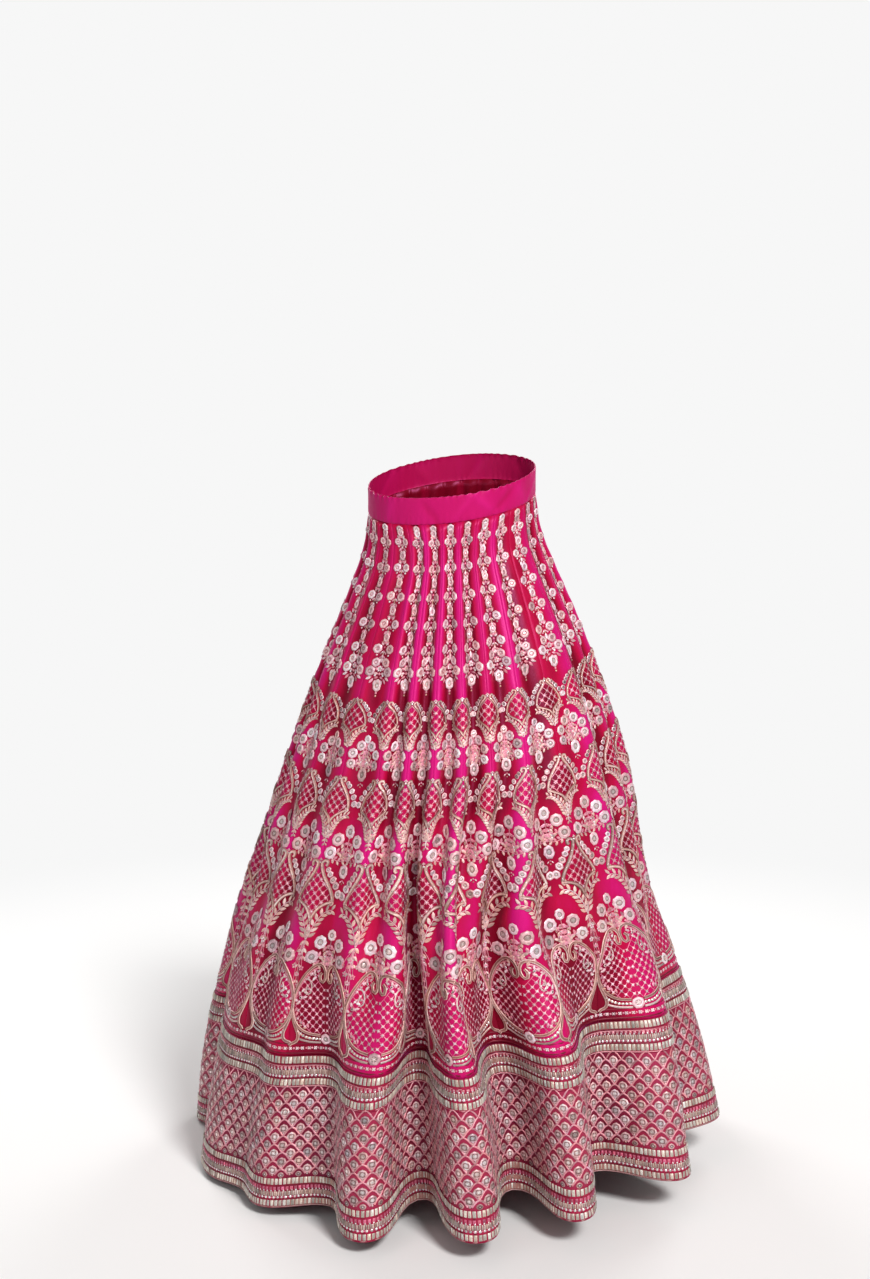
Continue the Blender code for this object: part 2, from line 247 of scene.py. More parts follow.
gu, gv = np.meshgrid(GU, GV)
relief = np.zeros_like(gu)
for u0, v0, v1, lean, depth, wide in CREASES + tuple(hidden):
    across = ((gu - u0 - lean * (gv - v0) / max(v1 - v0, .01)) + 13) % 26 - 13
    along = np.clip((gv - v0) / (v1 - v0), 0, 1)
    relief += depth * .001 * np.exp(-(across * width_at(gv) / (wide * .001))**2) * np.sin(pi * along)**1.2
# stitching draws the cloth in along the chains and lifts it between them
pucker = .00035 * np.cos(2 * pi * gu) * np.sin(2 * pi * gv * SLANT / .043 + 2.1 * np.sin(gu * 3.3)) * (gv < .26)
pucker += .0004 * np.sin(gu * 9.1 + 3 * np.sin(gv * 21)) * np.sin(gv * 63 + 2 * np.sin(gu * 4.7)) * ((gv > .26) & (gv < V_BORDER))
GRID = GRID + (relief + pucker)[..., None] * normals_of(GRID)
NORMAL = normals_of(GRID)


def read(field, u, v):
    """Bilinear reading of a grid field at arrays u, v."""
    fu = (u % N_GORES) / N_GORES * N_U
    fv = np.clip(v, 0, 1) * N_V
    iu = np.minimum(fu.astype(int), N_U - 1)
    iv = np.minimum(fv.astype(int), N_V - 1)
    a, b = fu - iu, fv - iv
    if field.ndim == 3:
        a, b = a[..., None], b[..., None]
    return ((field[iv, iu] * (1 - a) + field[iv, iu + 1] * a) * (1 - b)
            + (field[iv + 1, iu] * (1 - a) + field[iv + 1, iu + 1] * a) * b)


def on_cloth(u, v, lift):
    """Points at (u, v), lifted along the cloth's normal; past the hem it stays on the hem's points."""
    p, n = read(GRID, u, v), read(NORMAL, u, v)
    n /= np.linalg.norm(n, axis=-1)[..., None]
    return p + n * np.asarray(lift)[..., None]


# how far out the cloth lies among its neighbours: 0 at the bottom of a fold, 1 on its ridge; the satin turns it into
# painted crimson shade in the folds and a painted hot-pink highlight on the ridges
_win = int(1.3 * N_U / N_GORES)
_pad = np.concatenate([HEIGHT[:, -_win - 1:-1], HEIGHT, HEIGHT[:, 1:_win + 1]], 1)
_peak = np.stack([np.abs(_pad[:, k:k + N_U + 1]) for k in range(0, 2 * _win, 6)]).max(0)
FOLD_PAINTED_LIGHT = ease((HEIGHT / (_peak + .0035) + .75) / 1.6)

# ------------------------------------------------------------------ mesh helpers
def new_mesh(name, verts, faces, mats, smooth=True, tint=None, uv=None, fold=None, index=None):
    """faces: list of integer arrays (n, 3) or (n, 4); index: material index a face."""
    mesh = bpy.data.meshes.new(name)
    loops = np.concatenate([f.ravel() for f in faces]).astype(np.int32)
    sizes = np.concatenate([np.full(len(f), f.shape[1]) for f in faces]).astype(np.int32)
    starts = np.concatenate([[0], np.cumsum(sizes)[:-1]]).astype(np.int32)
    mesh.vertices.add(len(verts))
    mesh.loops.add(len(loops))
    mesh.polygons.add(len(sizes))
    mesh.vertices.foreach_set("co", np.asarray(verts, np.float32).ravel())
    mesh.loops.foreach_set("vertex_index", loops)
    mesh.polygons.foreach_set("loop_start", starts)
    mesh.polygons.foreach_set("use_smooth", np.full(len(sizes), bool(smooth)))
    for m in mats:
        mesh.materials.append(m)
    if index is not None:
        mesh.polygons.foreach_set("material_index", index.astype(np.int32))
    if uv is not None:
        mesh.uv_layers.new(name="cloth").data.foreach_set("uv", np.asarray(uv, np.float32)[loops].ravel())
    if fold is not None:
        mesh.attributes.new("fold", 'FLOAT', 'POINT').data.foreach_set("value", np.asarray(fold, np.float32))
    if tint is not None:
        rgba = np.concatenate([tint, np.ones((len(tint), 1))], 1).astype(np.float32)
        mesh.attributes.new("tint", 'FLOAT_COLOR', 'POINT').data.foreach_set("color", rgba.ravel())
    mesh.update(calc_edges=True)
    obj = bpy.data.objects.new(name, mesh)
    bpy.context.scene.collection.objects.link(obj)
    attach(obj, "root")
    return obj


def shell(name, outer, inner, mats, uv, fold):
    """A closed thin shell between two grids of points."""
    nr, nc = outer.shape[:2]
    n = nr * nc
    r, c = np.meshgrid(np.arange(nr - 1), np.arange(nc - 1), indexing='ij')
    i = (r * nc + c).ravel()
    f = np.stack([i, i + nc, i + nc + 1, i + 1], 1)
    idx = np.arange(n).reshape(nr, nc)
    rim = []
    for line, flip in ((idx[0], True), (idx[-1], False), (idx[:, 0], False), (idx[:, -1], True)):
        a, b = line[:-1], line[1:]
        q = np.stack([b, a, a + n, b + n], 1)
        rim.append(q[:, ::-1] if flip else q)
    both = np.concatenate([outer.reshape(-1, 3), inner.reshape(-1, 3)])
    # the inner face carries three tenths of the outer face's value: crimson painted shade inside the skirt
    return new_mesh(name, both, [f, f[:, ::-1] + n] + rim, mats, uv=np.concatenate([uv, uv]),
                    fold=np.concatenate([fold, fold * .3]))


def cloth_shell(name, u, v, lift, thick, mats):
    uv = np.stack([(u * width_at(v)).ravel(), (v * SLANT).ravel()], 1)
    # open_ is painted light on the satin: high gives a pink painted highlight, low a crimson painted shade
    open_ = read(FOLD_PAINTED_LIGHT, u, v) * (1 - .22 * ease((v - .50) / .18))       # painted highlight fades in the lower half: more crimson painted shade towards the hem
    open_ = open_ + .11 * np.exp(-((v - .52) / .11)**2)                  # but more pink painted highlight where the rows of flowers are
    seam = np.abs(u % 1 - .5)                                            # and crimson painted shade inside the ogees, which stand on the seams, with pink painted highlight between them
    rows = sum(np.exp(-((v - at) / size)**4) for at, size in ((.282, .026), (.404, .032), (.540, .044)))
    open_ = open_ + rows * (.12 * np.exp(-((seam - .5) / .13)**2) - .32 * np.exp(-(seam / .27)**4))
    arch_painted_highlight = sum(np.exp(-((v - at) / size)**2) for at, size in ((.318, .012), (.443, .017), (.588, .024)))
    open_ = open_ + .26 * arch_painted_highlight * np.exp(-((seam - .5) / .24)**2)         # pink painted highlight in the bare arches over the sprays
    return shell(name, on_cloth(u, v, lift), on_cloth(u, v, lift - thick), mats, uv, open_.ravel())


# ------------------------------------------------------------------ materials
def nodes_of(mat):
    mat.use_nodes = True
    return mat.node_tree, mat.node_tree.nodes["Principled BSDF"]


def add(tree, kind, **settings):
    node = tree.nodes.new(kind)
    for key, value in settings.items():
        if key.startswith("in_"):
            node.inputs[int(key[3:]) if key[3:].isdigit() else key[3:].replace("_", " ")].default_value = value
        else:
            setattr(node, key, value)
    return node


def link(tree, a, b):
    tree.links.new(a, b)


def colour_ramp(tree, stops, interpolation='LINEAR'):
    node = tree.nodes.new("ShaderNodeValToRGB")
    node.color_ramp.interpolation = interpolation
    while len(node.color_ramp.elements) < len(stops):
        node.color_ramp.elements.new(.5)
    for e, (at, col) in zip(node.color_ramp.elements, stops):
        e.position = at
        e.color = (*col, 1)
    return node


def satin_material(name, low, mid, high, rough=.36, weave=.08):
    """Satin: its 'fold' attribute paints crimson shade in the folds and a hot-pink highlight where the cloth lies open;
    streaked along the thread.
    """
    mat = bpy.data.materials.new(name)
    tree, bsdf = nodes_of(mat)
    coord = add(tree, "ShaderNodeTexCoord")
    attr = add(tree, "ShaderNodeAttribute", attribute_name="fold")
    stretch = add(tree, "ShaderNodeMapping")
    stretch.inputs["Scale"].default_value = (1, 1, .22)
    link(tree, coord.outputs["Object"], stretch.inputs["Vector"])
    broad = add(tree, "ShaderNodeTexNoise", in_Scale=26, in_Detail=3, in_Roughness=.6)
    link(tree, stretch.outputs[0], broad.inputs["Vector"])
    blend = add(tree, "ShaderNodeMath", operation='MULTIPLY_ADD', use_clamp=True)
    link(tree, broad.outputs["Fac"], blend.inputs[0])
    blend.inputs[1].default_value = .55
    shift = add(tree, "ShaderNodeMath", operation='SUBTRACT')
    link(tree, attr.outputs["Fac"], shift.inputs[0])
    shift.inputs[1].default_value = .27
    link(tree, shift.outputs[0], blend.inputs[2])
    # the ramp runs from the painted-shade colour through the mid tone to the painted-highlight colour
    ramp = colour_ramp(tree, [(.16, low), (.52, mid), (.78, tuple(.5 * a + .5 * b for a, b in zip(mid, high))), (.93, high)])
    link(tree, blend.outputs[0], ramp.inputs[0])
    thread = add(tree, "ShaderNodeTexWave", wave_type='BANDS', bands_direction='DIAGONAL', in_Scale=420,
                 in_Distortion=1.2, in_Detail=1)
    link(tree, coord.outputs["Object"], thread.inputs["Vector"])
    fine = add(tree, "ShaderNodeMix", data_type='RGBA', blend_type='MULTIPLY')
    fine.inputs["Factor"].default_value = .12
    link(tree, ramp.outputs[0], fine.inputs["A"])
    link(tree, thread.outputs["Color"], fine.inputs["B"])
    link(tree, fine.outputs["Result"], bsdf.inputs["Base Color"])
    gloss = add(tree, "ShaderNodeMapRange", in_3=rough - .06, in_4=rough + .10)
    link(tree, broad.outputs["Fac"], gloss.inputs[0])
    link(tree, gloss.outputs[0], bsdf.inputs["Roughness"])
    bump = add(tree, "ShaderNodeBump", in_Strength=weave, in_Distance=.0004)
    link(tree, thread.outputs["Fac"], bump.inputs["Height"])
    soft = add(tree, "ShaderNodeTexNoise", in_Scale=190, in_Detail=2)
    link(tree, stretch.outputs[0], soft.inputs["Vector"])
    bump2 = add(tree, "ShaderNodeBump", in_Strength=.10, in_Distance=.0015)
    link(tree, soft.outputs["Fac"], bump2.inputs["Height"])
    link(tree, bump.outputs[0], bump2.inputs["Normal"])
    link(tree, bump2.outputs[0], bsdf.inputs["Normal"])
    bsdf.inputs["Sheen Weight"].default_value = .25
    bsdf.inputs["Sheen Roughness"].default_value = .35
    bsdf.inputs["Sheen Tint"].default_value = (1, .10, .50, 1)
    bsdf.inputs["Specular Tint"].default_value = (1, .25, .62, 1)
    bsdf.inputs["Specular IOR Level"].default_value = .50
    return mat


def thread_material(name, metallic, rough, grain, depth, spec=(1, .86, .88, 1)):
    """Zari and beads: the piece's own tint, broken up by a fine grain."""
    mat = bpy.data.materials.new(name)
    tree, bsdf = nodes_of(mat)
    coord = add(tree, "ShaderNodeTexCoord")
    attr = add(tree, "ShaderNodeAttribute", attribute_name="tint")
    noise = add(tree, "ShaderNodeTexNoise", in_Scale=grain, in_Detail=2, in_Roughness=.7)
    link(tree, coord.outputs["Object"], noise.inputs["Vector"])
    ramp = colour_ramp(tree, [(.3, (.56, .46, .48)), (.52, (.94, .92, .92)), (.7, (1.12, 1.12, 1.12))])
    link(tree, noise.outputs["Fac"], ramp.inputs[0])
    mix = add(tree, "ShaderNodeMix", data_type='RGBA', blend_type='MULTIPLY')
    mix.inputs["Factor"].default_value = .8
    link(tree, attr.outputs["Color"], mix.inputs["A"])
    link(tree, ramp.outputs[0], mix.inputs["B"])
    link(tree, mix.outputs["Result"], bsdf.inputs["Base Color"])
    gloss = add(tree, "ShaderNodeMapRange", in_3=rough - .08, in_4=rough + .14)
    link(tree, noise.outputs["Fac"], gloss.inputs[0])
    link(tree, gloss.outputs[0], bsdf.inputs["Roughness"])
    bump = add(tree, "ShaderNodeBump", in_Strength=.5, in_Distance=depth)
    link(tree, noise.outputs["Fac"], bump.inputs["Height"])
    link(tree, bump.outputs[0], bsdf.inputs["Normal"])
    bsdf.inputs["Metallic"].default_value = metallic
    bsdf.inputs["Specular Tint"].default_value = spec
    return mat


# each satin's three colours: its colour in painted shade, its mid tone, its colour in painted highlight
SATIN_PAINTED_SHADE, MID, SATIN_PAINTED_HIGHLIGHT = (.20, .001, .011), (.53, .003, .050), (.70, .008, .200)
m_satin = satin_material("satin", SATIN_PAINTED_SHADE, MID, SATIN_PAINTED_HIGHLIGHT)
m_band = satin_material("satin_waistband", (.50, .004, .08), (.62, .006, .14), (.72, .010, .20), rough=.40)
m_border = satin_material("satin_border", (.16, .010, .024), (.30, .020, .050), (.40, .034, .075), rough=.5, weave=.15)
m_trim = satin_material("satin_trim", (.18, .006, .020), (.30, .012, .036), (.42, .020, .060), rough=.55, weave=.2)
m_thread = thread_material("zari_thread", .25, .42, 900, .0004)
m_silver = thread_material("silver_mirror", .45, .22, 500, .0003, (1, 1, 1, 1))
MATS = [m_thread, m_silver]

# ------------------------------------------------------------------ the cloth
edge = np.array([0, .0011, .0030])          # columns that round the seam edges (m)


def gore_columns(v, k):
    e = edge[None] / width_at(v)[:, None]
    mid = np.linspace(0, 1, 11)[None] * (1 - 2 * (e[:, -1:] + .06)) + e[:, -1:] + .06
    return k - .5 + np.concatenate([e, mid, 1 - e[:, ::-1]], 1), np.concatenate([edge, np.full(11, .02), edge[::-1]])


vs = np.linspace(0, V_BORDER, 77)
for k in range(N_GORES):
    u, from_edge = gore_columns(vs, k)
    v = np.repeat(vs[:, None], u.shape[1], 1)
    tuck = .0007 * np.exp(-(from_edge / .0012)**2)[None] * np.ones_like(v)
    obj = cloth_shell(f"gore_{k + 1:02d}", u, v, -tuck, .0009, [m_satin])
    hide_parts(f"kali_{k + 1:02d}")
    width_at(V_BORDER)
    (GORE_TOP + width_at(V_BORDER)) / 2 * V_BORDER * SLANT

LENGTHS = (("front", -3.5, 3.5), ("right", 3.5, 9.5), ("back", 9.5, 16.5), ("left", 16.5, 22.5))
for name, u0, u1 in LENGTHS:
    n = int(round((u1 - u0) * 20)) + 1
    for piece, v0, v1, rows, lift, thick, mat, node, slot in (
            ("border_cloth_", V_BORDER, 1.0, 30, 0., .0010, m_border, "border_", "border"),
            ("top_band_cloth_", V_BORDER, V_TRIM_TOP, 9, .0010, .0008, m_trim, "top_trim_", "trim"),
            ("hem_band_cloth_", V_TRIM_HEM, 1.0, 9, .0010, .0008, m_trim, "hem_trim_", "trim")):
        u, v = np.meshgrid(np.linspace(u0, u1, n), np.linspace(v0, v1, rows))
        obj = cloth_shell(piece + name, u, v, lift * np.ones_like(u), thick, [mat])
        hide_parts(node + name)
        wide, tall = (u1 - u0) * width_at(v1), (v1 - v0) * SLANT
        (u1 - u0) * (width_at(v0) + width_at(v1)) / 2 * tall

# waistband: two straight pieces, joined at the sides
half, ratio = SECTIONS[0][1] + .0004, SECTIONS[0][2]


def band_points(us, h, lift):
    q = read(GRID, us, np.zeros_like(us))
    th = np.arctan2(q[..., 1] / ratio, q[..., 0])
    nx, ny = np.cos(th), np.sin(th) / ratio
    size = np.hypot(nx, ny)
    x = half * np.cos(th) + nx / size * lift
    y = half * ratio * np.sin(th) + ny / size * lift
    return np.stack([x, y, h + SLOPE_WAIST_Y * y + SLOPE_WAIST_X * x], -1)


BAND_CREASES = ((-3.6, .2, 1.0, .9), (-1.2, -.5, .9, -.7), (0.7, .6, .7, .8), (1.9, -.7, 1.0, .9), (3.1, .9, .9, -.9),
                (4.2, -.4, 1.1, .9), (5.4, .8, .8, .8), (8.8, .5, 1.0, .8), (11.6, -.6, .9, .8), (14.9, .5, 1.0, -.8), (17.2, -.5, .9, .8))
for name, u0, u1 in (("front", -6.5, 6.5), ("back", 6.5, 19.5)):
    hs = np.concatenate([[.0210, .0208, .0200], np.linspace(.0188, -.0188, 12), [-.0200, -.0208, -.0210]])
    u, h = np.meshgrid(np.linspace(u0, u1, 193), hs)
    lift = -.0008 * (np.abs(h) / .021)**14
    lift -= .00045 * np.exp(-((np.abs(h) - .0172) / .0009)**2)          # the two stitched lines
    lift += .00030 * np.sin(u * 17 + 2 * np.sin(u * 3.1)) * np.exp(-((h + .021) / .009)**2)
    top, wave = np.exp(-((.021 - h) / .006)**2), u * 13.3 + 2.6 * np.sin(u * 1.7)
    lift += .0010 * np.sin(wave) * (.6 + .4 * np.sin(u * .9)) * top                # its top edge puckers on the drawstring
    for uc, lean, wide, deep in BAND_CREASES:
        lift += deep * .0012 * np.exp(-((u - uc - lean * h / .021) / (.32 * wide))**2) * np.cos(h / .021 * 1.2)
    h = h - .0008 * (1 + np.sin(wave + .9)) * (.6 + .4 * np.sin(u * .9)) * top
    a, b = band_points(u, h, lift), band_points(u, h, lift - .0014)
    uv = np.stack([(u * GORE_TOP).ravel(), h.ravel()], 1)
    # painted light on the band: raised cloth gets pink painted highlight, its stitched lines, creases and puckers
    # crimson painted shade
    band_painted_light = (.5 + 240 * (lift + .0002)).clip(0, 1).ravel()
    obj = shell("waistband_cloth_" + name, a, b, [m_band], uv, band_painted_light)
    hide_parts("waistband_" + name)

# ------------------------------------------------------------------ embroidery: small parts in the cloth's plane
# a part is built flat: p across, q down the cloth, h above it (m)
# the near-black eighth tone is painted shadow: the dark ring round each mirror
IVORY, SILVER, ROSE, PINK, GOLD, DEEP, SEQUIN, SHADOW_GAP, ASH, BRASS, SAND, STEEL, IRON, MAUVE, PLUM = range(15)
TONES = np.array([(.98, .64, .68), (.66, .48, .46), (.84, .31, .40), (.80, .18, .31), (.58, .31, .25), (.20, .005, .026), (.97, .87, .87),
                  (.12, .04, .04), (.49, .29, .28), (.38, .17, .145), (.84, .53, .48), (.61, .56, .49), (.46, .37, .33),
                  (.72, .30, .35), (.60, .14, .23)])


class Part:
    """Vertices, triangles and quads, with a material, a tone and an element number a vertex."""
    def __init__(self, verts, tris=(), quads=(), tone=IVORY, mat=0):
        self.v = np.asarray(verts, float).reshape(-1, 3)
        self.t = np.asarray(tris, int).reshape(-1, 3)
        self.q = np.asarray(quads, int).reshape(-1, 4)
        n = len(self.v)
        self.tone = np.broadcast_to(np.asarray(tone), (n,)).copy()
        self.tm = np.full(len(self.t), mat)
        self.qm = np.full(len(self.q), mat)
        self.elem = np.zeros(n, int)

    def copy(self):
        new = Part(self.v.copy(), self.t.copy(), self.q.copy())
        new.tone, new.tm, new.qm, new.elem = self.tone.copy(), self.tm.copy(), self.qm.copy(), self.elem.copy()
        return new

    def at(self, p=0., q=0., turn=0., size=1., lift=0., flip=False, tone=None, tall=None):
        """A placed copy: scaled, mirrored, turned (degrees, clockwise as seen) and moved."""
        new = self.copy()
        new.v *= size
        if tall is not None:
            new.v[:, 1] *= tall
        c, s = np.cos(radians(turn)), np.sin(radians(turn))
        x, y = new.v[:, 0].copy(), new.v[:, 1].copy()
        new.v[:, 0], new.v[:, 1] = x * c - y * s + p, x * s + y * c + q
        new.v[:, 2] += lift
        if flip:
            new.v[:, 0] = -new.v[:, 0]
            new.t, new.q = new.t[:, ::-1].copy(), new.q[:, ::-1].copy()
        if tone is not None:
            new.tone[:] = tone
        return new


def join(parts):
    parts = [p for p in parts if p is not None]
    base, count, out = 0, 0, Part(np.zeros((0, 3)))
    v, t, q, tone, tm, qm, elem = [], [], [], [], [], [], []
    for p in parts:
        v.append(p.v); t.append(p.t + base); q.append(p.q + base); tone.append(p.tone)
        tm.append(p.tm); qm.append(p.qm); elem.append(p.elem + count)
        base += len(p.v)
        count += int(p.elem.max()) + 1
    out.v, out.t, out.q = np.concatenate(v), np.concatenate(t), np.concatenate(q)
    out.tone, out.tm, out.qm, out.elem = map(np.concatenate, (tone, tm, qm, elem))
    return out


def both_sides(part):
    return join([part, part.at(flip=True)])


def fan(rings, centre_h, tones, mats, sides):
    """Concentric rings (radius, height, scallop) closed by a centre point; the outermost ring first."""
    a = np.arange(sides) / sides * 2 * pi
    v, tone, q, t, qm, tm = [], [], [], [], [], []
    for k, (r, h, wave) in enumerate(rings):
        rr = r * (1 + wave * np.cos(a * sides / 2))
        v.append(np.stack([rr * np.sin(a), -rr * np.cos(a), np.full(sides, h)], 1))
        tone += [tones[k]] * sides
    v.append([[0, 0, centre_h]])
    tone.append(tones[-1])
    i = np.arange(sides)
    j = (i + 1) % sides
    for k in range(len(rings) - 1):
        q.append(np.stack([k * sides + i, k * sides + j, (k + 1) * sides + j, (k + 1) * sides + i], 1))
        qm += [mats[k]] * sides
    k = len(rings) - 1
    t = np.stack([k * sides + i, k * sides + j, np.full(sides, len(rings) * sides)], 1)
    out = Part(np.concatenate(v), t, np.concatenate(q), tone)
    out.qm, out.tm = np.array(qm), np.full(sides, mats[-1])
    return out


def disc(d, sides=12, ring_tone=IVORY, eye=SILVER, gap=SHADOW_GAP):
    """A mirror held by a ring of thread loops: pale loops, a dark gap ring of painted shadow, the mirror with a painted
    glint in its middle.
    """
    r = d / 2
    k = min(1, d / .012)
    out = fan([(r, .0001, .035), (r * .82, .0014 * k, .01), (r * .50, .0013 * k, 0), (r * .42, .0007 * k, 0), (r * .30, .0008 * k, 0)],
              .0012 * k, [ROSE, ring_tone, ring_tone, gap, eye, SEQUIN], [0, 0, 0, 0, 1], sides)
    out.tone[:sides:2] = ring_tone
    return out


def small_disc(d, ring_tone=IVORY, eye=SILVER):
    r = d / 2
    # a dark ring of painted shadow between the loops and the mirror
    return fan([(r, .0001, .03), (r * .74, .0010, 0), (r * .42, .0007, 0)], .0010, [ring_tone, ring_tone, SHADOW_GAP, eye], [0, 0, 1], 8)


def bead(d, tone=IVORY, mat=0, sides=5):
    a = np.arange(sides) / sides * 2 * pi
    v = [(d / 2 * np.sin(x), -d / 2 * np.cos(x), 0.0001) for x in a] + [(0, 0, d * .42)]
    return Part(v, [(i, (i + 1) % sides, sides) for i in range(sides)], tone=tone, mat=mat)


def leaf(length, width, tone=IVORY, mat=0):
    """An almond leaf standing up from q = 0 towards -q, ridged down its middle."""
    L, w = length, width / 2
    v = [(0, 0, .0002), (-w * .8, -L * .35, .0002), (-w * .75, -L * .68, .0002), (0, -L, .0002), (w * .75, -L * .68, .0002),
         (w * .8, -L * .35, .0002), (0, -L * .35, .0011), (0, -L * .7, .0010)]
    out = Part(v, [(0, 6, 1), (0, 5, 6), (2, 7, 3), (3, 7, 4)], [(1, 6, 7, 2), (5, 4, 7, 6)], tone=tone, mat=mat)
    out.tone[0] = ROSE
    return out


def flower(d, petals=5, tone=ROSE, eye=IVORY):
    """Small four- or five-petalled flower."""
    r = d / 2
    v, t = [], []
    for k in range(petals):
        a = 2 * pi * k / petals
        w = .80 * pi / petals
        b = len(v)
        v += [(0, 0, .0004), (r * .70 * np.sin(a - w), -r * .70 * np.cos(a - w), .0002), (r * np.sin(a), -r * np.cos(a), .0004),
              (r * .70 * np.sin(a + w), -r * .70 * np.cos(a + w), .0002)]
        t.append((b, b + 1, b + 2, b + 3))
    out = Part(v, quads=t, tone=tone)
    out.v[:, 2] += .0003
    return join([out, bead(d * .34, tone=eye).at(lift=.0006)])


def star(d, tone=ROSE, eye=SEQUIN):
    """A four-petalled sequin flower, pressed flat."""
    a = np.arange(8) / 8 * 2 * pi
    r = d / 2 * np.where(np.arange(8) % 2, .52, 1)
    v = [(x * np.sin(t), -x * np.cos(t), .0003) for x, t in zip(r, a)] + [(0, 0, .0011)]
    return Part(v, [(i, (i + 1) % 8, 8) for i in range(8)], tone=[tone] * 8 + [eye])


def smooth_line(points, step):
    """A Catmull-Rom curve through the points, resampled about every step metres."""
    p = np.asarray(points, float)
    ext = np.concatenate([[2 * p[0] - p[1]], p, [2 * p[-1] - p[-2]]])
    t = np.linspace(0, 1, 9)[:-1, None]
    out = []
    for k in range(len(p) - 1):
        a, b, c, d = ext[k:k + 4]
        out.append(.5 * (2 * b + (c - a) * t + (2 * a - 5 * b + 4 * c - d) * t**2 + (3 * b - a - 3 * c + d) * t**3))
    out = np.concatenate(out + [p[-1:]])
    s = np.concatenate([[0], np.cumsum(np.linalg.norm(np.diff(out, axis=0), axis=1))])
    n = max(2, int(round(s[-1] / step)) + 1)
    at = np.linspace(0, s[-1], n)
    return np.stack([np.interp(at, s, out[:, k]) for k in (0, 1)], 1)


def sides_of(line):
    d = np.gradient(line, axis=0)
    d /= np.linalg.norm(d, axis=1)[:, None] + 1e-12
    return np.stack([-d[:, 1], d[:, 0]], 1)


def cord(line, width, height=.0009, tone=IVORY, mat=0, step=None, taper=0.):
    """A raised cord laid along a line; its section is a low ridge."""
    if step:
        line = smooth_line(line, step)
    line = np.asarray(line, float)
    n = len(line)
    w = width / 2 * np.ones(n)
    if taper:
        x = np.linspace(0, 1, n)
        w *= 1 - taper * np.clip(np.abs(2 * x - 1)**3, 0, 1)
    s = sides_of(line)
    v = np.concatenate([np.concatenate([line + s * w[:, None], np.full((n, 1), .0001)], 1),
                        np.concatenate([line, np.full((n, 1), height)], 1),
                        np.concatenate([line - s * w[:, None], np.full((n, 1), .0001)], 1)])
    i = np.arange(n - 1)
    q = np.concatenate([np.stack([i, i + 1, n + i + 1, n + i], 1), np.stack([n + i, n + i + 1, 2 * n + i + 1, 2 * n + i], 1)])
    return Part(v, quads=q, tone=tone, mat=mat)


def band_cord(line, width, tone=SILVER, edge=IVORY):
    """A broad bar of metal thread between two raised pale edges."""
    line = np.asarray(line, float)
    n = len(line)
    s = sides_of(line)
    at = np.array([-.5, -.34, -.20, .20, .34, .5]) * width
    up = np.array([.0001, .0018, .0010, .0010, .0018, .0001])
    v = np.concatenate([np.concatenate([line - s * a, np.full((n, 1), h)], 1) for a, h in zip(at, up)])
    i = np.arange(n - 1)
    q = np.concatenate([np.stack([k * n + i, k * n + i + 1, (k + 1) * n + i + 1, (k + 1) * n + i], 1) for k in range(5)])
    return Part(v, quads=q, tone=np.repeat([edge, edge, tone, tone, edge, edge], n))


def along(line, part, count, start=0., end=1., offset=0., grow=(1., 1.), turn=0., follow=True, lift=0.):
    """Copies of a part along a line, set off to its side, each growing from grow[0] to grow[1]."""
    line = np.asarray(line, float)
    s = np.concatenate([[0], np.cumsum(np.linalg.norm(np.diff(line, axis=0), axis=1))])
    out, sd = [], sides_of(line)
    for k in range(count):
        f = start + (end - start) * (k / max(count - 1, 1))
        at = f * s[-1]
        p = np.array([np.interp(at, s, line[:, j]) for j in (0, 1)])
        n = np.array([np.interp(at, s, sd[:, j]) for j in (0, 1)])
        g = grow[0] + (grow[1] - grow[0]) * (k / max(count - 1, 1))
        a = np.degrees(np.arctan2(-n[0], n[1])) - 90 if follow else 0       # 0 when the line runs up the cloth
        p = p + n * offset * g
        out.append(part.at(p[0], p[1], turn=a + turn, size=g, lift=lift))
    return join(out)


def fern(line, leaf_part, pairs, lean=42, stem=.0011, grow=(1., 1.), tone=IVORY, start=.06, end=.96):
    """A stem with leaves leaning forward along it on both sides."""
    line = np.asarray(line, float)
    return join([cord(line, stem, .0007, tone=tone),
                 along(line, leaf_part, pairs, start, end, 0., grow, turn=-lean),
                 along(line, leaf_part, pairs, start + .02, end, 0., grow, turn=lean)])


def inside(poly, pts):
    x, y = pts[:, 0], pts[:, 1]
    hit = np.zeros(len(pts), bool)
    a, b = poly, np.roll(poly, -1, 0)
    for (x0, y0), (x1, y1) in zip(a, b):
        cross = ((y0 > y) != (y1 > y)) & (x < (x1 - x0) * (y - y0) / (y1 - y0 + 1e-15) + x0)
        hit ^= cross
    return hit


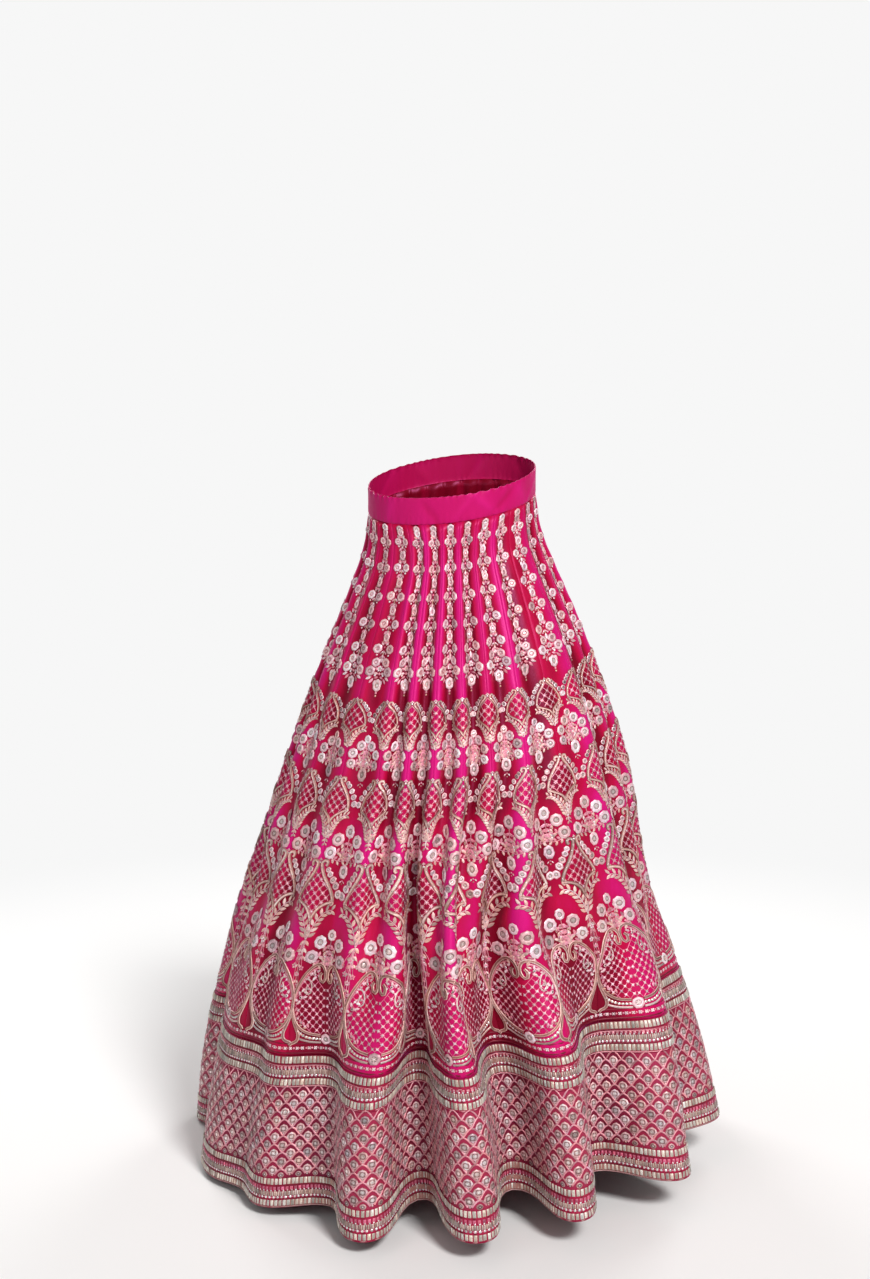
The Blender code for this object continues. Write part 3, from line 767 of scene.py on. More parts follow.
def jaal(poly, cell, flower_part, thread=.0008, tone=ROSE, margin=.0015, every=1):
    """A diamond net clipped to an outline, with a flower in its cells."""
    poly = np.asarray(poly, float)
    lo, hi = poly.min(0), poly.max(0)
    out = []
    c = poly.mean(0)
    for sign in (1, -1):
        for k in np.arange(-60, 60):
            # lines p = c0 + sign * (q - c1) + k * cell, cut to the outline
            q = np.arange(lo[1] + .0008, hi[1], .0022)
            p = c[0] + sign * (q - c[1]) * .9 + k * cell
            line = np.stack([p, q], 1)
            ok = inside(poly, line)
            run = np.flatnonzero(np.diff(np.concatenate([[0], ok.astype(int), [0]])))
            for a, b in zip(run[::2], run[1::2]):
                if b - a > 3:
                    keep = line[a:b:2] if (b - a) % 2 else np.concatenate([line[a:b:2], line[b - 1:b]])
                    out.append(cord(keep[[0, *range(1, len(keep) - 1, 2), -1]] if len(keep) > 3 else keep, thread, .0004, tone=tone))
    spots = []
    rows = np.arange(-40, 40)
    for r in rows:
        for k in rows:
            p = c[0] + (k + .5 * (r % 2)) * cell
            q = c[1] + r * cell / 2 / .9
            if lo[0] < p < hi[0] and lo[1] < q < hi[1]:
                spots.append((p, q, r, k))
    if spots:
        s = np.array(spots)
        shrink = c + (poly - c) * (1 - margin * 2 / max(hi - lo))
        ok = inside(shrink, s[:, :2])
        for p, q, r, k in s[ok]:
            if every == 1 or int(r + k) % every == 0:
                out.append(flower_part.at(p, q, turn=float((r * 37 + k * 71) % 60)))
    return join(out)


def lay(part, uc, vc, size=1., turn=0., gore_width=None, lift=.0005, tilt=.04, spread=.20, seed=1):
    """Lays copies of a part on the cloth at (uc, vc).  With gore_width the part is cut for a gore of that
    width and stretches with it; without, it keeps its real size."""
    r = np.random.default_rng(seed)
    uc, vc = np.atleast_1d(np.asarray(uc, float)), np.atleast_1d(np.asarray(vc, float))
    m, n = len(uc), len(part.v)
    size = np.broadcast_to(np.asarray(size, float), (m,))[:, None]
    a = np.radians(np.broadcast_to(np.asarray(turn, float), (m,)) + r.normal(0, 1.2, m))[:, None]
    P, Q, H = (part.v[None, :, k] * size for k in range(3))
    P, Q = P * np.cos(a) - Q * np.sin(a), P * np.sin(a) + Q * np.cos(a)
    v = np.clip(vc[:, None] + Q / SLANT, 0.0004, .9996)
    u = uc[:, None] + P / (gore_width if gore_width else width_at(v))
    elems = int(part.elem.max()) + 1
    # each element leans a little its own way and has its own shade
    cp = np.array([part.v[part.elem == e].mean(0) for e in range(elems)])[part.elem]
    tx, ty = r.normal(0, tilt, (2, m, elems))
    rel = part.v - cp
    H = H + (rel[None, :, 0] * tx[:, part.elem] + rel[None, :, 1] * ty[:, part.elem]) * size * (np.abs(rel[:, 0]) < .011) * (np.abs(rel[:, 1]) < .011)
    pts = on_cloth(u, v, H + lift)
    shade = 1 + r.normal(0, spread, (m, elems)).clip(-.4, .45)
    warm = r.normal(0, .05, (m, elems))
    col = TONES[part.tone][None] * (shade[:, part.elem] * (1 + r.normal(0, .16, (m, n)).clip(-.35, .35)))[..., None]
    col = col * (1 + warm[:, part.elem][..., None] * np.array([.4, -.6, -1.2]))
    base = (np.arange(m) * n)[:, None, None]
    tris = (part.t[None] + base).reshape(-1, 3)
    quads = (part.q[None] + base).reshape(-1, 4)
    index = np.concatenate([np.tile(part.tm, m), np.tile(part.qm, m)])
    faces = [f for f in (tris, quads) if len(f)]
    return pts.reshape(-1, 3), faces, col.reshape(-1, 3).clip(.003, 1), index


def piece(name, slot, *laid):
    """Joins laid parts into one mesh."""
    verts, tint, tris, quads, ti, qi, base = [], [], [], [], [], [], 0
    for pts, faces, col, index in laid:
        verts.append(pts); tint.append(col)
        k = 0
        for f in faces:
            (tris if f.shape[1] == 3 else quads).append(f + base)
            (ti if f.shape[1] == 3 else qi).append(index[k:k + len(f)])
            k += len(f)
        base += len(pts)
    faces = [np.concatenate(x) for x in (tris, quads) if x]
    index = np.concatenate(ti + qi)
    obj = new_mesh(name, np.concatenate(verts), faces, MATS, tint=np.concatenate(tint), index=index)
    return obj


mm = .001
K = np.arange(N_GORES)

# ---- chains down the middle of each gore, from the waistband to v = .25
pod = disc(10 * mm, 10, eye=ROSE, gap=BRASS).at(tall=1.3)
trefoil = join([leaf(6 * mm, 3.2 * mm, GOLD).at(0, 0, turn=180), leaf(5.4 * mm, 3 * mm).at(0, 0, turn=128), leaf(5.4 * mm, 3 * mm).at(0, 0, turn=-128),
                bead(3.2 * mm, PINK)])


def link_unit(gap, d, w):
    """One repeat of the chain: a pod, a pair of mirrors under it, beads and a trefoil; gap is the repeat's length."""
    parts = [pod.at(0, -gap * .47, size=1.0 + w * 16), bead(4.8 * mm, ROSE).at(0, -gap * .24)]
    for s in (-1, 1):
        parts += [disc(d, 14, eye=ROSE, gap=BRASS).at(s * w, 0), leaf(7.6 * mm, 4.6 * mm).at(s * 2 * mm, -gap * .13, turn=s * 36), leaf(7.2 * mm, 4.4 * mm, ROSE).at(s * 1 * mm, -gap * .21, turn=s * 66),
                  bead(3.6 * mm, ROSE).at(s * w * .42, d * .52), bead(3.4 * mm, IVORY).at(s * w * .95, d * .66), leaf(8 * mm, 4.8 * mm, ROSE).at(s * 1.4 * mm, d * .62 + 2.4 * mm, turn=s * 138),
                  leaf(7.6 * mm, 4.6 * mm).at(s * 1 * mm, d * .62 + 6.4 * mm, turn=s * 152), bead(3.4 * mm, GOLD).at(s * 4 * mm, -gap * .33)]
    parts += [bead(3.8 * mm, PINK).at(0, -gap * .06), trefoil.at(0, 4 * mm), bead(3.4 * mm, GOLD).at(0, gap * .24), leaf(7.5 * mm, 4.2 * mm, IVORY).at(0, gap * .42)]
    return join(parts)


def chain_end():
    """The flower that ends a chain, with its pendant."""
    parts = []
    for s in (-1, 1):
        parts += [disc(13 * mm, eye=ROSE, gap=BRASS).at(s * 8 * mm, -10 * mm), disc(14.4 * mm, eye=ROSE, gap=BRASS).at(s * 14.5 * mm, 2 * mm), leaf(9 * mm, 4.6 * mm, ROSE).at(s * 8 * mm, 12 * mm, turn=s * 140),
                  leaf(9 * mm, 4.6 * mm).at(s * 11 * mm, 10 * mm, turn=s * 112), leaf(8 * mm, 4.4 * mm).at(s * 4.5 * mm, 14 * mm, turn=s * 165),
                  leaf(7 * mm, 4.2 * mm, ROSE).at(s * 2 * mm, 1 * mm, turn=s * 60), leaf(7 * mm, 4.2 * mm).at(s * 2 * mm, 6 * mm, turn=s * 80), bead(3.6 * mm, SEQUIN).at(s * 6.5 * mm, 8 * mm),
                  bead(3.4 * mm, PINK).at(s * 2.4 * mm, -4 * mm), leaf(7 * mm, 4 * mm, ROSE).at(s * 1 * mm, 10 * mm, turn=s * 110)]
    parts += [flower(9 * mm, 5, IVORY, GOLD).at(0, -1 * mm), leaf(8 * mm, 4.4 * mm, IVORY).at(0, -9 * mm), bead(4.2 * mm, ROSE).at(0, 6 * mm), disc(13.5 * mm, 12, gap=BRASS).at(0, 22 * mm, tall=1.3), bead(3.8 * mm, ROSE).at(0, 32.6 * mm),
              bead(3.0 * mm, GOLD).at(0, 36.4 * mm)]
    return join(parts)


CHAIN = ((.0265, 30, 11.4, 6.8), (.0630, 38, 13.0, 8.2), (.1035, 43, 14.0, 9.6), (.1430, 43, 15.0, 10.6), (.1790, 38, 15.4, 11.6))
laid = [lay(link_unit(g * mm, d * mm, w * mm), K, v + .0015 * np.sin(K * 2.1), seed=11 + k) for k, (v, g, d, w) in enumerate(CHAIN)]
laid.append(lay(disc(12 * mm), K, .0075, seed=20))
laid.append(lay(chain_end(), K, .2080, size=1.16, seed=21))
piece("emb_chains", "satin", *laid)


# ---- ogees on the seams, in three rows
def ogee(w, h, bar, discs, d0, d1, cell, fl, pairs, lf, tail, bulge):
    """Frame of width w and height h: two bars that curl out at the top, a spiral at each side corner,
    two concave curves to a point, a flowered net inside, mirrors outside and ferns below."""
    x = w / 2
    straight = np.array([(.33, .085), (.40, .045), (.34, -.005), (.20, -.005), (.10, .035), (.13, .12), (.27, .25), (.52, .40), (.78, .54), (.95, .645), (1.0, .70)])
    full = np.array([(.33, .085), (.40, .045), (.34, -.005), (.20, -.005), (.12, .035), (.24, .12), (.50, .24), (.75, .37), (.92, .51), (.995, .63), (1.0, .70)])
    upper = (straight + (full - straight) * bulge) * (x, h)
    corner = np.array([(1.0, .70), (1.03, .735), (.97, .765), (.88, .745), (.86, .70), (.91, .675)]) * (x, h)
    lower = np.array([(.99, .715), (.80, .722 + .03 * bulge), (.56, .745 + .05 * bulge), (.33, .80 + .04 * bulge), (.15, .89), (.04, .98), (.0, 1.03)]) * (x, h)
    up, low = smooth_line(upper, .0034), smooth_line(lower, .0034)
    parts = [band_cord(up, bar, SAND, BRASS), cord(corner, bar * .55, .0014, SAND, step=.0028),
             band_cord(low, bar * .9, SAND, BRASS), along(up, bead(2.6 * mm, SEQUIN, 1, 4), int(h / .0105), .08, .96, lift=.0008)]
    out_line = smooth_line(upper[4:], .002)
    s = np.concatenate([[0], np.cumsum(np.linalg.norm(np.diff(out_line, axis=0), axis=1))])
    nrm = sides_of(out_line)
    sizes = np.linspace(d0, d1, discs)
    for k in range(discs):                      # mirrors outside the upper bars, growing downward
        d = sizes[k]
        f = s[-1] * (.16 + .84 * (sizes[:k].sum() + d / 2) / sizes.sum())
        i = int(np.interp(f, s, np.arange(len(s))))
        p = out_line[i] - nrm[i] * (bar / 2 + d / 2 + .0016)
        parts.append((disc(d, 12) if d > 8.6 * mm else small_disc(d, IVORY, SEQUIN)).at(p[0], p[1]))
    # ferns under the lower curves, meeting in a stem
    arm = smooth_line(np.array([(1.06, .845), (.80, .865), (.55, .93), (.34, 1.04), (.16, 1.19), (.03, 1.36)]) * (x, h), .004)
    parts.append(fern(arm, lf, pairs, lean=44, grow=(.86, 1.06), start=.02, end=.95))
    half = join([p for p in parts if p is not None])
    outline = np.concatenate([upper[4:], lower[1:]])
    outline = smooth_line(outline, .004)
    net = jaal(np.concatenate([outline, outline[::-1] * (-1, 1)]) * (.90, .94) + (0, h * .03), cell, fl, .0012, ROSE, .004)
    centre = [net, bead(3.2 * mm, SEQUIN, 1).at(0, h * .02), flower(5.5 * mm, 4, IVORY, GOLD).at(0, -h * .03)]
    if tail:
        stem = smooth_line(np.array([(0, 1.02), (.02, 1.2), (0, 1.36), (-.02, 1.36 + tail * .5), (0, 1.36 + tail)]) * (x, h), .005)
        centre += [cord(stem, .0012, .0007, IVORY), along(stem, lf, 3, .55, .98, 0, (.9, .7), turn=140), along(stem, lf, 3, .55, .98, 0, (.9, .7), turn=-140)]
    return join([both_sides(half)] + centre)


leaf_s, leaf_m, leaf_l = leaf(8 * mm, 4.4 * mm, SAND), leaf(9.6 * mm, 5.0 * mm, SAND), leaf(14.4 * mm, 7.0 * mm, SAND)
row1 = ogee(.045, .056, 3.6 * mm, 5, 6.6 * mm, 9.0 * mm, 12 * mm, flower(6.6 * mm, 5, ROSE, SEQUIN), 8, leaf_s, .0, .9)
row2 = ogee(.052, .072, 4.8 * mm, 5, 7.4 * mm, 11.2 * mm, 12.5 * mm, flower(7.6 * mm, 5, ROSE, SEQUIN), 9, leaf_m, .12, .8)
row3 = ogee(.068, .096, 6.0 * mm, 5, 9.6 * mm, 14.6 * mm, 13.5 * mm, flower(7.8 * mm, 5, ROSE, SEQUIN), 7, leaf_l, .30, .15)
S = K + .5
piece("emb_ogees_upper", "satin", lay(row1, S, .2525, seed=31), lay(row2, S, .3660, seed=32))
piece("emb_ogees_lower", "satin", lay(row3, S, .4890, seed=33))


# ---- sprays in the middle of each gore
def spray(discs, top, foot, lf, tones=(SAND, ROSE)):
    """Mirrors (x, y, diameter; mm, mirrored) and one on top, on leafy stems that spring from one foot."""
    parts = [disc(top[1] * mm, 16).at(0, top[0] * mm, tall=1.15)]
    for x, y, d in discs:
        line = smooth_line(np.array([(0, foot), (x * .20, foot * .55 + y * .25), (x * .52, y * .72 + foot * .06), (x * .78, y + d * .16)]) * mm, .0045)
        one = join([disc(d * mm, 16).at(x * mm, y * mm), cord(line, 1.5 * mm, .0008, ROSE), along(line, lf.at(tone=tones[0]), 4, .22, .80, turn=-48), along(line, lf.at(tone=tones[1]), 4, .14, .80, turn=48)])
        parts.append(both_sides(one))
    line = np.array([(0, foot), (0, foot * .5 + top[0] * .5), (0, top[0] + top[1] * .6)]) * mm
    parts += [cord(line, 1.6 * mm, .0009, ROSE), along(line, lf.at(tone=ROSE), 4, .15, .85, turn=-52), along(line, lf.at(tone=ROSE), 4, .15, .85, turn=52)]
    low = smooth_line(np.array([(0, foot - 1), (discs[-1][0] * .45, foot + 1), (discs[-1][0] * .85, foot - 3)]) * mm, .005)
    parts.append(both_sides(join([cord(low, 1.3 * mm, .0008, ROSE), along(low, lf.at(tone=tones[0]), 3, .30, 1., turn=-50), along(low, lf.at(tone=tones[1]), 3, .30, .9, turn=55),
                                  flower(6 * mm, 5, IVORY, SEQUIN).at(low[-1][0], low[-1][1] - 2 * mm)])))
    g = np.random.default_rng(int(foot * 10))
    for j in range(10):
        parts.append(bead(g.uniform(3.0, 4.0) * mm, (SEQUIN, PINK, GOLD, GOLD)[j % 4]).at(g.uniform(-.55, .55) * discs[0][0] * mm, g.uniform(top[0] * .3, foot * .9) * mm, lift=.0006))
    return join(parts)


def pendant(d):
    return join([disc(d, 14).at(0, 0, tall=1.3), bead(3.2 * mm, ROSE).at(0, d * .85), leaf(5 * mm, 2.6 * mm).at(-2 * mm, d * .85, turn=-140), leaf(5 * mm, 2.6 * mm).at(2 * mm, d * .85, turn=140),
                 bead(2.6 * mm, GOLD).at(0, d * .85 + 5 * mm)])


def stem_to(q0, q1):
    return cord([(0, q0), (.4 * mm, (q0 + q1) / 2), (0, q1)], 1.6 * mm, .0008, ROSE, step=.006)


sp1 = join([spray(((9.6, -16.5, 16.5), (22.5, -4.5, 16.5), (23, 12, 15.5)), (-27, 12), 18, leaf(7.2 * mm, 4.4 * mm)), pendant(17.5 * mm).at(0, 30 * mm)])
sp2 = join([spray(((19.5, -13.5, 21.5), (29.5, 8, 21.5)), (-27, 19.5), 21, leaf(8.6 * mm, 5.2 * mm)), pendant(18 * mm).at(0, 38 * mm)])
sp3 = join([spray(((20, -11, 23), (31, 14, 22.5)), (-25, 17), 27, leaf(9.4 * mm, 5.6 * mm)), stem_to(27 * mm, 33 * mm)])
piece("emb_sprays", "satin", lay(sp1, K, .3340, seed=41), lay(sp2, K, .4690, seed=42), lay(sp3, K, .6210, seed=43))

# ---- medallions, one a gore, meeting in a drop on each seam
WREF = float(width_at(.70))
HM = .112 * SLANT           # height of the medallion on the cloth


def med(points):
    return np.asarray(points, float) * (WREF / 2, HM)


lobe = med([(1.0, .53), (.965, .41), (.87, .28), (.71, .15), (.52, .055), (.34, .005), (.17, .015), (.06, .08), (.035, .165), (.10, .235), (.20, .225), (.225, .155), (.165, .115)])
lobe_in = med([(.935, .50), (.90, .41), (.81, .295), (.665, .18), (.50, .095), (.35, .055), (.25, .065)])
curl = med([(.70, .20), (.56, .215), (.475, .28), (.475, .37), (.56, .41), (.635, .36), (.60, .30)])
low_in = med([(1.0, .53), (.965, .64), (.865, .765), (.70, .865), (.46, .93), (.16, .955)])
low_out = med([(.77, .985), (.62, 1.015), (.42, 1.04), (.15, 1.05)])
drop = med([(1.0, .56), (.975, .65), (.915, .75), (.835, .85), (.775, .93), (.785, 1.0), (.86, 1.035), (.935, 1.045), (1.0, 1.075)])
med_parts = [band_cord(smooth_line(lobe, .0050), 5.0 * mm, BRASS, SAND), cord(lobe_in, 2.0 * mm, .0010, ROSE, step=.0060), cord(curl, 2.4 * mm, .0012, SILVER, step=.0040),
             band_cord(smooth_line(low_in, .0060), 4.4 * mm, BRASS, SAND), cord(low_out, 3.2 * mm, .0014, SILVER, step=.006),
             band_cord(smooth_line(drop, .0046), 5.0 * mm, BRASS, SAND)]
mid_arc = smooth_line(med([(.80, .885), (.66, .945), (.45, .99), (.17, 1.003)]), .003)
med_parts.append(along(mid_arc, bead(4.6 * mm, SEQUIN, 1), 8, .04, .97))
med_parts.append(along(mid_arc, bead(3.6 * mm, GOLD), 7, .10, .91))
for x, y, turn in ((.76, .38, -40), (.80, .43, 10), (.84, .50, 60), (.72, .45, -80), (.70, .37, -110), (.77, .52, 100), (.36, .115, -60), (.42, .14, 0), (.48, .165, 40), (.38, .17, 150), (.31, .15, -120)):
    q = med([(x, y)])[0]
    med_parts.append(leaf(8.5 * mm, 4.6 * mm, (IVORY, SEQUIN, IVORY)[int(x * 100) % 3]).at(q[0], q[1], turn=turn))
for x, y, d in ((.77, .45, 5.5), (.40, .145, 4.5), (.56, .335, 4.2)):
    q = med([(x, y)])[0]
    med_parts.append(small_disc(d * mm).at(q[0], q[1], lift=.0004))
side_leaf = smooth_line(med([(.93, .62), (.84, .73), (.68, .81), (.46, .86)]), .004)
med_parts.append(along(side_leaf, leaf(8.5 * mm, 4.2 * mm, ROSE), 6, .05, .95, turn=-50))
med_parts.append(along(side_leaf, leaf(7.5 * mm, 3.6 * mm, GOLD), 5, .12, .9, turn=30))
net_poly = np.concatenate([smooth_line(lobe_in, .006), med([(.25, .25), (.10, .29), (0, .20)]), med([(0, .93)]), smooth_line(low_in[::-1] * (.93, .985), .006)])
med_parts.append(jaal(net_poly, 12.0 * mm, star(6.8 * mm), .0011, PINK, .004))
medallion = join([both_sides(join(med_parts)), disc(18 * mm, 14, IVORY, SILVER).at(0, HM * 1.0), flower(9 * mm, 6, SILVER, SEQUIN).at(0, HM * 1.0, lift=.0012)])
hang = []                                   # small flowers hanging over each seam
for x, y, d, tone in ((0, -.15, 10.6, IVORY), (-.24, -.08, 10, ROSE), (.25, -.07, 10, IVORY), (-.12, .03, 10.6, IVORY), (.13, .06, 10, ROSE), (0, .14, 9.6, IVORY), (-.09, .23, 7.6, ROSE), (.08, .29, 7, IVORY), (0, .38, 6, ROSE)):
    q = med([(x, y)])[0]
    hang.append(flower(d * mm, 5, tone, PINK).at(q[0], q[1]))
    hang.append(cord([(0, HM * -.30), (q[0] * .6, (q[1] + HM * -.30) / 2), (q[0], q[1])], .9 * mm, .0005, ROSE, step=.012))
for k in range(6):                          # leaves in pairs along the hanging stem, smaller downward
    for s in (-1, 1):
        q = med([(0, -.20 + .105 * k)])[0]
        hang.append(leaf((9.4 - .7 * k) * mm, (5.0 - .35 * k) * mm, (SAND, ROSE)[k % 2]).at(q[0] + s * .6 * mm, q[1], turn=s * (128 + 5 * k)))
hang.append(cord(med([(0, -.30), (.01, -.05), (0, .15), (0, .45)]), 1.3 * mm, .0007, ROSE, step=.008))
piece("emb_medallions", "satin", lay(medallion, K, .6440, gore_width=WREF, seed=51), lay(join(hang), S, .6440, gore_width=WREF, seed=52))

# ---- border
def run_of(v, pitch, part, seed, phase=0., lift=.0002, spread=.24, jitter=.04, tilt=.05):
    """A row of one small part all round the skirt on level v, a pitch apart."""
    n = int(round(N_GORES * width_at(v) / pitch))
    r = np.random.default_rng(seed)
    u = (np.arange(n) + phase + r.normal(0, jitter, n)) / n * N_GORES
    return lay(part, u, np.full(n, v), seed=seed, lift=lift, spread=spread, tilt=tilt)


def bar(w, h, tall, tone=STEEL, mat=0):
    """One upright stitch bar: a low prism."""
    x, y = w / 2, h / 2
    v = [(-x, -y, .0001), (x, -y, .0001), (x, y, .0001), (-x, y, .0001), (0, -y * .86, tall), (0, y * .86, tall)]
    return Part(v, [(0, 4, 1), (2, 5, 3)], [(0, 3, 5, 4), (1, 4, 5, 2)], tone=tone, mat=mat)


def round_line(v, width, tone, height, lift, steps=8, mat=0):
    """A cord all round on level v."""
    n = N_GORES * steps
    u = np.linspace(0, N_GORES, n + 1)
    dv = width / 2 / SLANT
    uu = np.concatenate([u, u, u])
    vv = np.concatenate([np.full(n + 1, v - dv), np.full(n + 1, v), np.full(n + 1, v + dv)])
    pts = on_cloth(uu, np.clip(vv, 0, 1), np.concatenate([np.full(n + 1, lift), np.full(n + 1, lift + height), np.full(n + 1, lift)]))
    i = np.arange(n)
    q = np.concatenate([np.stack([i, n + 1 + i, n + 2 + i, i + 1], 1), np.stack([n + 1 + i, 2 * n + 2 + i, 2 * n + 3 + i, n + 2 + i], 1)])
    return pts, [q], np.tile(TONES[tone], (3 * n + 3, 1)), np.full(len(q), mat)


T = .0011                                   # the trims' outer face over the border
top = [
    run_of(.7690, 9.6 * mm, flower(6.6 * mm, 4, IVORY, SEQUIN).at(turn=45), 61, lift=.0005),
    run_of(.7690, 9.6 * mm, bead(3.6 * mm, ROSE), 62, phase=.5, lift=.0005),
    round_line(.7625, 1.8 * mm, DEEP, .0007, .0002), round_line(.7760, 2.4 * mm, DEEP, .0008, .0002),
    round_line(.7860, 11 * mm, BRASS, .0002, T), run_of(.7860, 6.2 * mm, bar(4.5 * mm, 10.6 * mm, .0018), 63, lift=T),
    round_line(.7922, 2.0 * mm, DEEP, .0008, T), round_line(.7945, 1.4 * mm, MAUVE, .0009, T),
    run_of(.7968, 6.2 * mm, bar(3.8 * mm, 3.6 * mm, .0010, MAUVE), 64, lift=T), run_of(.7990, 6.2 * mm, bead(3.0 * mm, SEQUIN, 1), 69, lift=T),
    round_line(.8040, 8.4 * mm, BRASS, .0002, T), run_of(.8040, 3.1 * mm, bar(2.3 * mm, 8.0 * mm, .0013, IRON), 67, lift=T),
    run_of(.8092, 6.2 * mm, bead(4.4 * mm, SEQUIN, 1), 65, lift=T), run_of(.8092, 6.2 * mm, bead(2.6 * mm, PLUM), 66, phase=.5, lift=T),
    round_line(.8122, 2.0 * mm, DEEP, .0008, T),
    round_line(.8182, 10 * mm, BRASS, .0002, T), run_of(.8182, 6.2 * mm, bar(4.5 * mm, 9.8 * mm, .0018), 68, lift=T),
    round_line(.8245, 1.8 * mm, MAUVE, .0009, T),
]
piece("emb_band_top", "trim", *top)
hem = [
    round_line(.9620, 10 * mm, BRASS, .0002, T), run_of(.9620, 6.2 * mm, bar(4.5 * mm, 9.6 * mm, .0017), 71, lift=T),
    round_line(.9682, 2.2 * mm, DEEP, .0008, T),
    run_of(.9720, 6.2 * mm, bar(3.9 * mm, 5.4 * mm, .0010, PLUM), 72, lift=T), run_of(.9752, 6.2 * mm, bead(2.8 * mm, SEQUIN, 1), 73, lift=T),
    round_line(.9798, 7.4 * mm, BRASS, .0002, T), run_of(.9798, 3.1 * mm, bar(2.3 * mm, 7.2 * mm, .0012, IRON), 74, lift=T),
    run_of(.9848, 6.2 * mm, bead(4.2 * mm, SEQUIN, 1), 75, lift=T), run_of(.9848, 6.2 * mm, bead(2.4 * mm, PLUM), 77, phase=.5, lift=T),
    round_line(.9878, 2.0 * mm, DEEP, .0008, T),
    round_line(.9932, 9 * mm, BRASS, .0002, T), run_of(.9932, 6.2 * mm, bar(4.5 * mm, 8.8 * mm, .0016), 76, lift=T),
    round_line(.9988, 1.6 * mm, ASH, .0010, T),
]
piece("emb_band_hem", "trim", *hem)

# lattice of mirrors between the bands: staggered cells that keep their count from top to bottom
V0, V1 = V_TRIM_TOP, V_TRIM_HEM
ROWS, PITCH = 10, (V_TRIM_HEM - V_TRIM_TOP) / 10.9    # rows of mirrors, half a cell apart
COUNT = 5.5                                         # cells a gore
cell_h = 2 * PITCH * SLANT
WB = float(width_at((V0 + V1) / 2))
cw = WB / COUNT
edge_line = smooth_line([(0, -cell_h * .5), (cw * .15, -cell_h * .425), (cw * .29, -cell_h * .285), (cw * .40, -cell_h * .125), (cw / 2, 0)], .0048)
net_edges = both_sides(cord(edge_line, 2.4 * mm, .0013, MAUVE))
# a dark ring of painted shadow round the mirror and a painted glint at its centre
mirror = fan([(7.2 * mm, .0001, .05), (5.6 * mm, .0013, 0), (3.4 * mm, .0009, 0), (2.8 * mm, .0008, 0)], .0012, [ASH, ASH, SHADOW_GAP, SILVER, SEQUIN], [0, 0, 0, 1], 8)
mirror.tone[8:16:2] = IVORY
crossing = bead(3.0 * mm, MAUVE).at(0, -cell_h / 2, lift=.0006)
cell = join([net_edges, mirror.at(0, 1.6 * mm), bead(3.0 * mm, SILVER).at(0, 9.9 * mm), crossing])
foot_cell = join([both_sides(cord(edge_line[:-1], 2.8 * mm, .0013, MAUVE)), small_disc(9 * mm, ASH, SEQUIN).at(0, -3.5 * mm), crossing])
ring_u = np.arange(int(COUNT * N_GORES)) / COUNT
for k, name in enumerate(("front", "right", "back", "left")):
    laid = []
    for r in range(ROWS + 1):
        uu = (ring_u + .5 * (r % 2) / COUNT) % N_GORES
        sel = np.searchsorted([3.5, 9.5, 16.5, 22.5], uu) % 4 == k
        laid.append(lay(cell if r < ROWS else foot_cell, uu[sel], np.full(sel.sum(), V0 + (r + .80) * PITCH), gore_width=WB, seed=80 + 20 * k + r, lift=.0003))
    piece("emb_lattice_" + name, "border", *laid)

# ------------------------------------------------------------------ floor, light, camera
low_z = float(GRID[..., 2].min())
floor = bpy.data.meshes.new("floor")
floor.from_pydata([(-14, -14, low_z - .002), (14, -14, low_z - .002), (14, 14, low_z - .002), (-14, 14, low_z - .002)], [], [(0, 1, 2, 3)])
floor = bpy.data.objects.new("floor", floor)
bpy.context.scene.collection.objects.link(floor)
m_floor = bpy.data.materials.new("floor")
tree, bsdf = nodes_of(m_floor)
bsdf.inputs["Base Color"].default_value = (.88, .87, .86, 1)
bsdf.inputs["Roughness"].default_value = .8
far = add(tree, "ShaderNodeEmission", in_Color=(1, 1, 1, 1), in_Strength=.93)     # away from the skirt it runs into the backdrop's white
ray = add(tree, "ShaderNodeLightPath")
lit = add(tree, "ShaderNodeMapRange", in_3=.42, in_4=.93)                          # and lights it less than it shows
link(tree, ray.outputs["Is Camera Ray"], lit.inputs[0])
link(tree, lit.outputs[0], far.inputs["Strength"])
coord = add(tree, "ShaderNodeTexCoord")
dist = add(tree, "ShaderNodeVectorMath", operation='LENGTH')
link(tree, coord.outputs["Object"], dist.inputs[0])
fade = add(tree, "ShaderNodeMapRange", interpolation_type='SMOOTHSTEP')
fade.inputs["From Min"].default_value, fade.inputs["From Max"].default_value = 1.2, 2.4
link(tree, dist.outputs["Value"], fade.inputs["Value"])
blend = add(tree, "ShaderNodeMixShader")
link(tree, fade.outputs["Result"], blend.inputs[0])
link(tree, bsdf.outputs[0], blend.inputs[1])
link(tree, far.outputs[0], blend.inputs[2])
link(tree, blend.outputs[0], tree.nodes["Material Output"].inputs["Surface"])
floor.data.materials.append(m_floor)

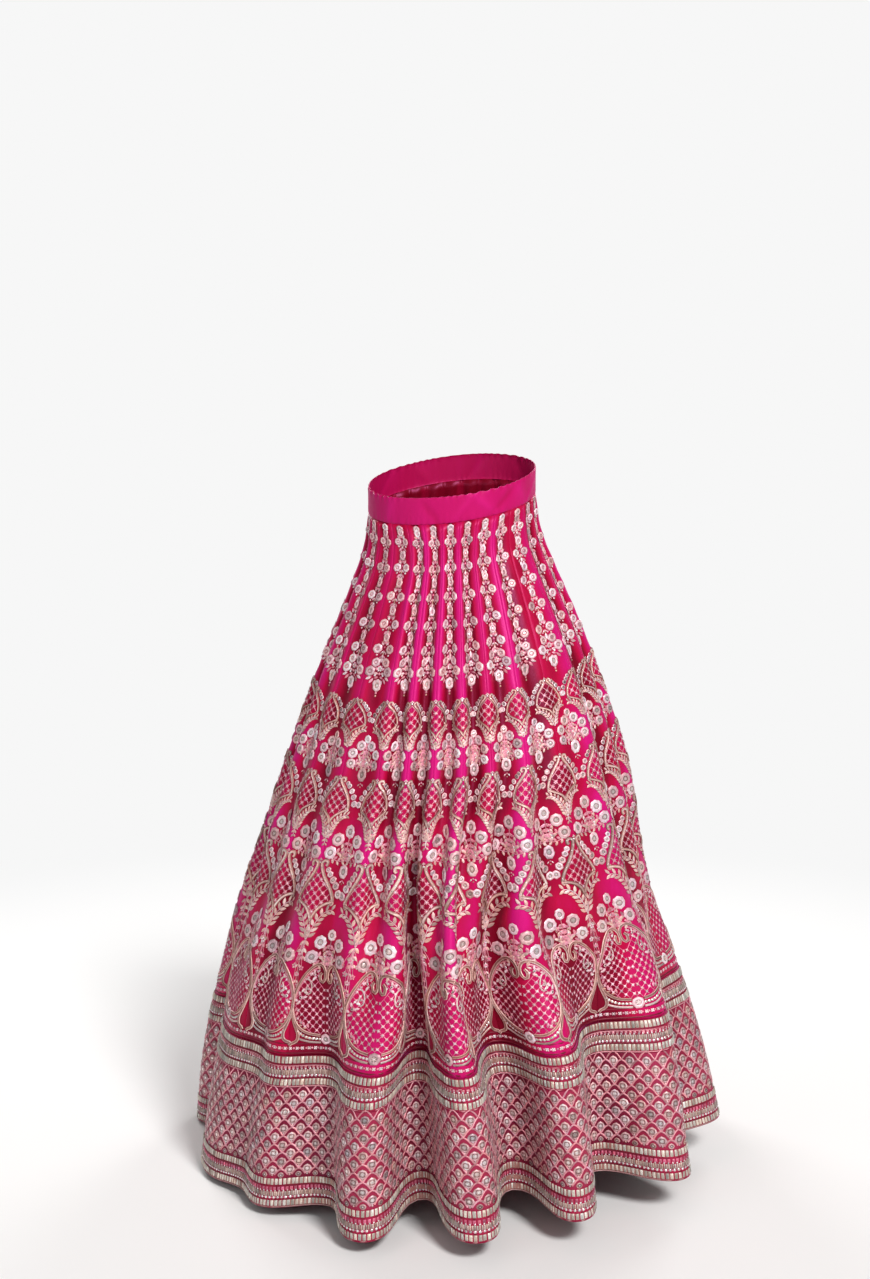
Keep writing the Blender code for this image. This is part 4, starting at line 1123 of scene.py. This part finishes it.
world = bpy.data.worlds.new("studio")
bpy.context.scene.world = world
world.use_nodes = True
tree = world.node_tree
back = tree.nodes["Background"]
back.inputs["Color"].default_value = (1, .99, .98, 1)
back.inputs["Strength"].default_value = .18
seen = add(tree, "ShaderNodeBackground", in_Color=(1, 1, 1, 1), in_Strength=.93)
path = add(tree, "ShaderNodeLightPath")
pick = add(tree, "ShaderNodeMixShader")
link(tree, path.outputs["Is Camera Ray"], pick.inputs[0])
link(tree, back.outputs[0], pick.inputs[1])
link(tree, seen.outputs[0], pick.inputs[2])
link(tree, pick.outputs[0], tree.nodes["World Output"].inputs["Surface"])


def lamp(name, at, to, size, power, colour=(1, 1, 1)):
    data = bpy.data.lights.new(name, 'AREA')
    data.shape, data.size, data.energy, data.color = 'DISK', size, power, colour
    obj = bpy.data.objects.new(name, data)
    bpy.context.scene.collection.objects.link(obj)
    obj.location = at
    aim = np.array(to) - np.array(at)
    obj.rotation_euler = Vector(aim).to_track_quat('-Z', 'Y').to_euler()
    return obj


sun = bpy.data.objects.new("sun", bpy.data.lights.new("sun", 'SUN'))
bpy.context.scene.collection.objects.link(sun)
sun.data.energy, sun.data.angle = 2.0, radians(14)
sun.rotation_euler = (radians(46), 0, radians(28))
lamp("key", (1.2, -2.7, 1.7), (0, 0, -.1), 1.0, 36, (1, .98, .97))
lamp("fill", (-2.6, -2.6, .9), (0, 0, -.5), 2.2, 15, (.96, .98, 1))
lamp("front", (-.3, -3.4, .7), (0, 0, -.4), 1.8, 6.5)
lamp("back_left", (-1.8, 3.1, 1.2), (0, 0, -.5), 2.0, 64)
lamp("back_right", (1.8, 3.3, 1.2), (0, 0, -.5), 2.0, 60)

cam = bpy.data.objects.new("camera", bpy.data.cameras.new("camera"))
bpy.context.scene.collection.objects.link(cam)
cam.location = (-.027, -3.6, .35)
cam.rotation_euler = (radians(90 - 9.4), 0, 0)
cam.data.lens = 2250 / 1279 * 36
cam.data.sensor_width = 36
cam.data.clip_end = 100
bpy.context.scene.camera = cam
bpy.context.scene.view_settings.view_transform = 'Standard'
bpy.context.scene.view_settings.look = 'None'
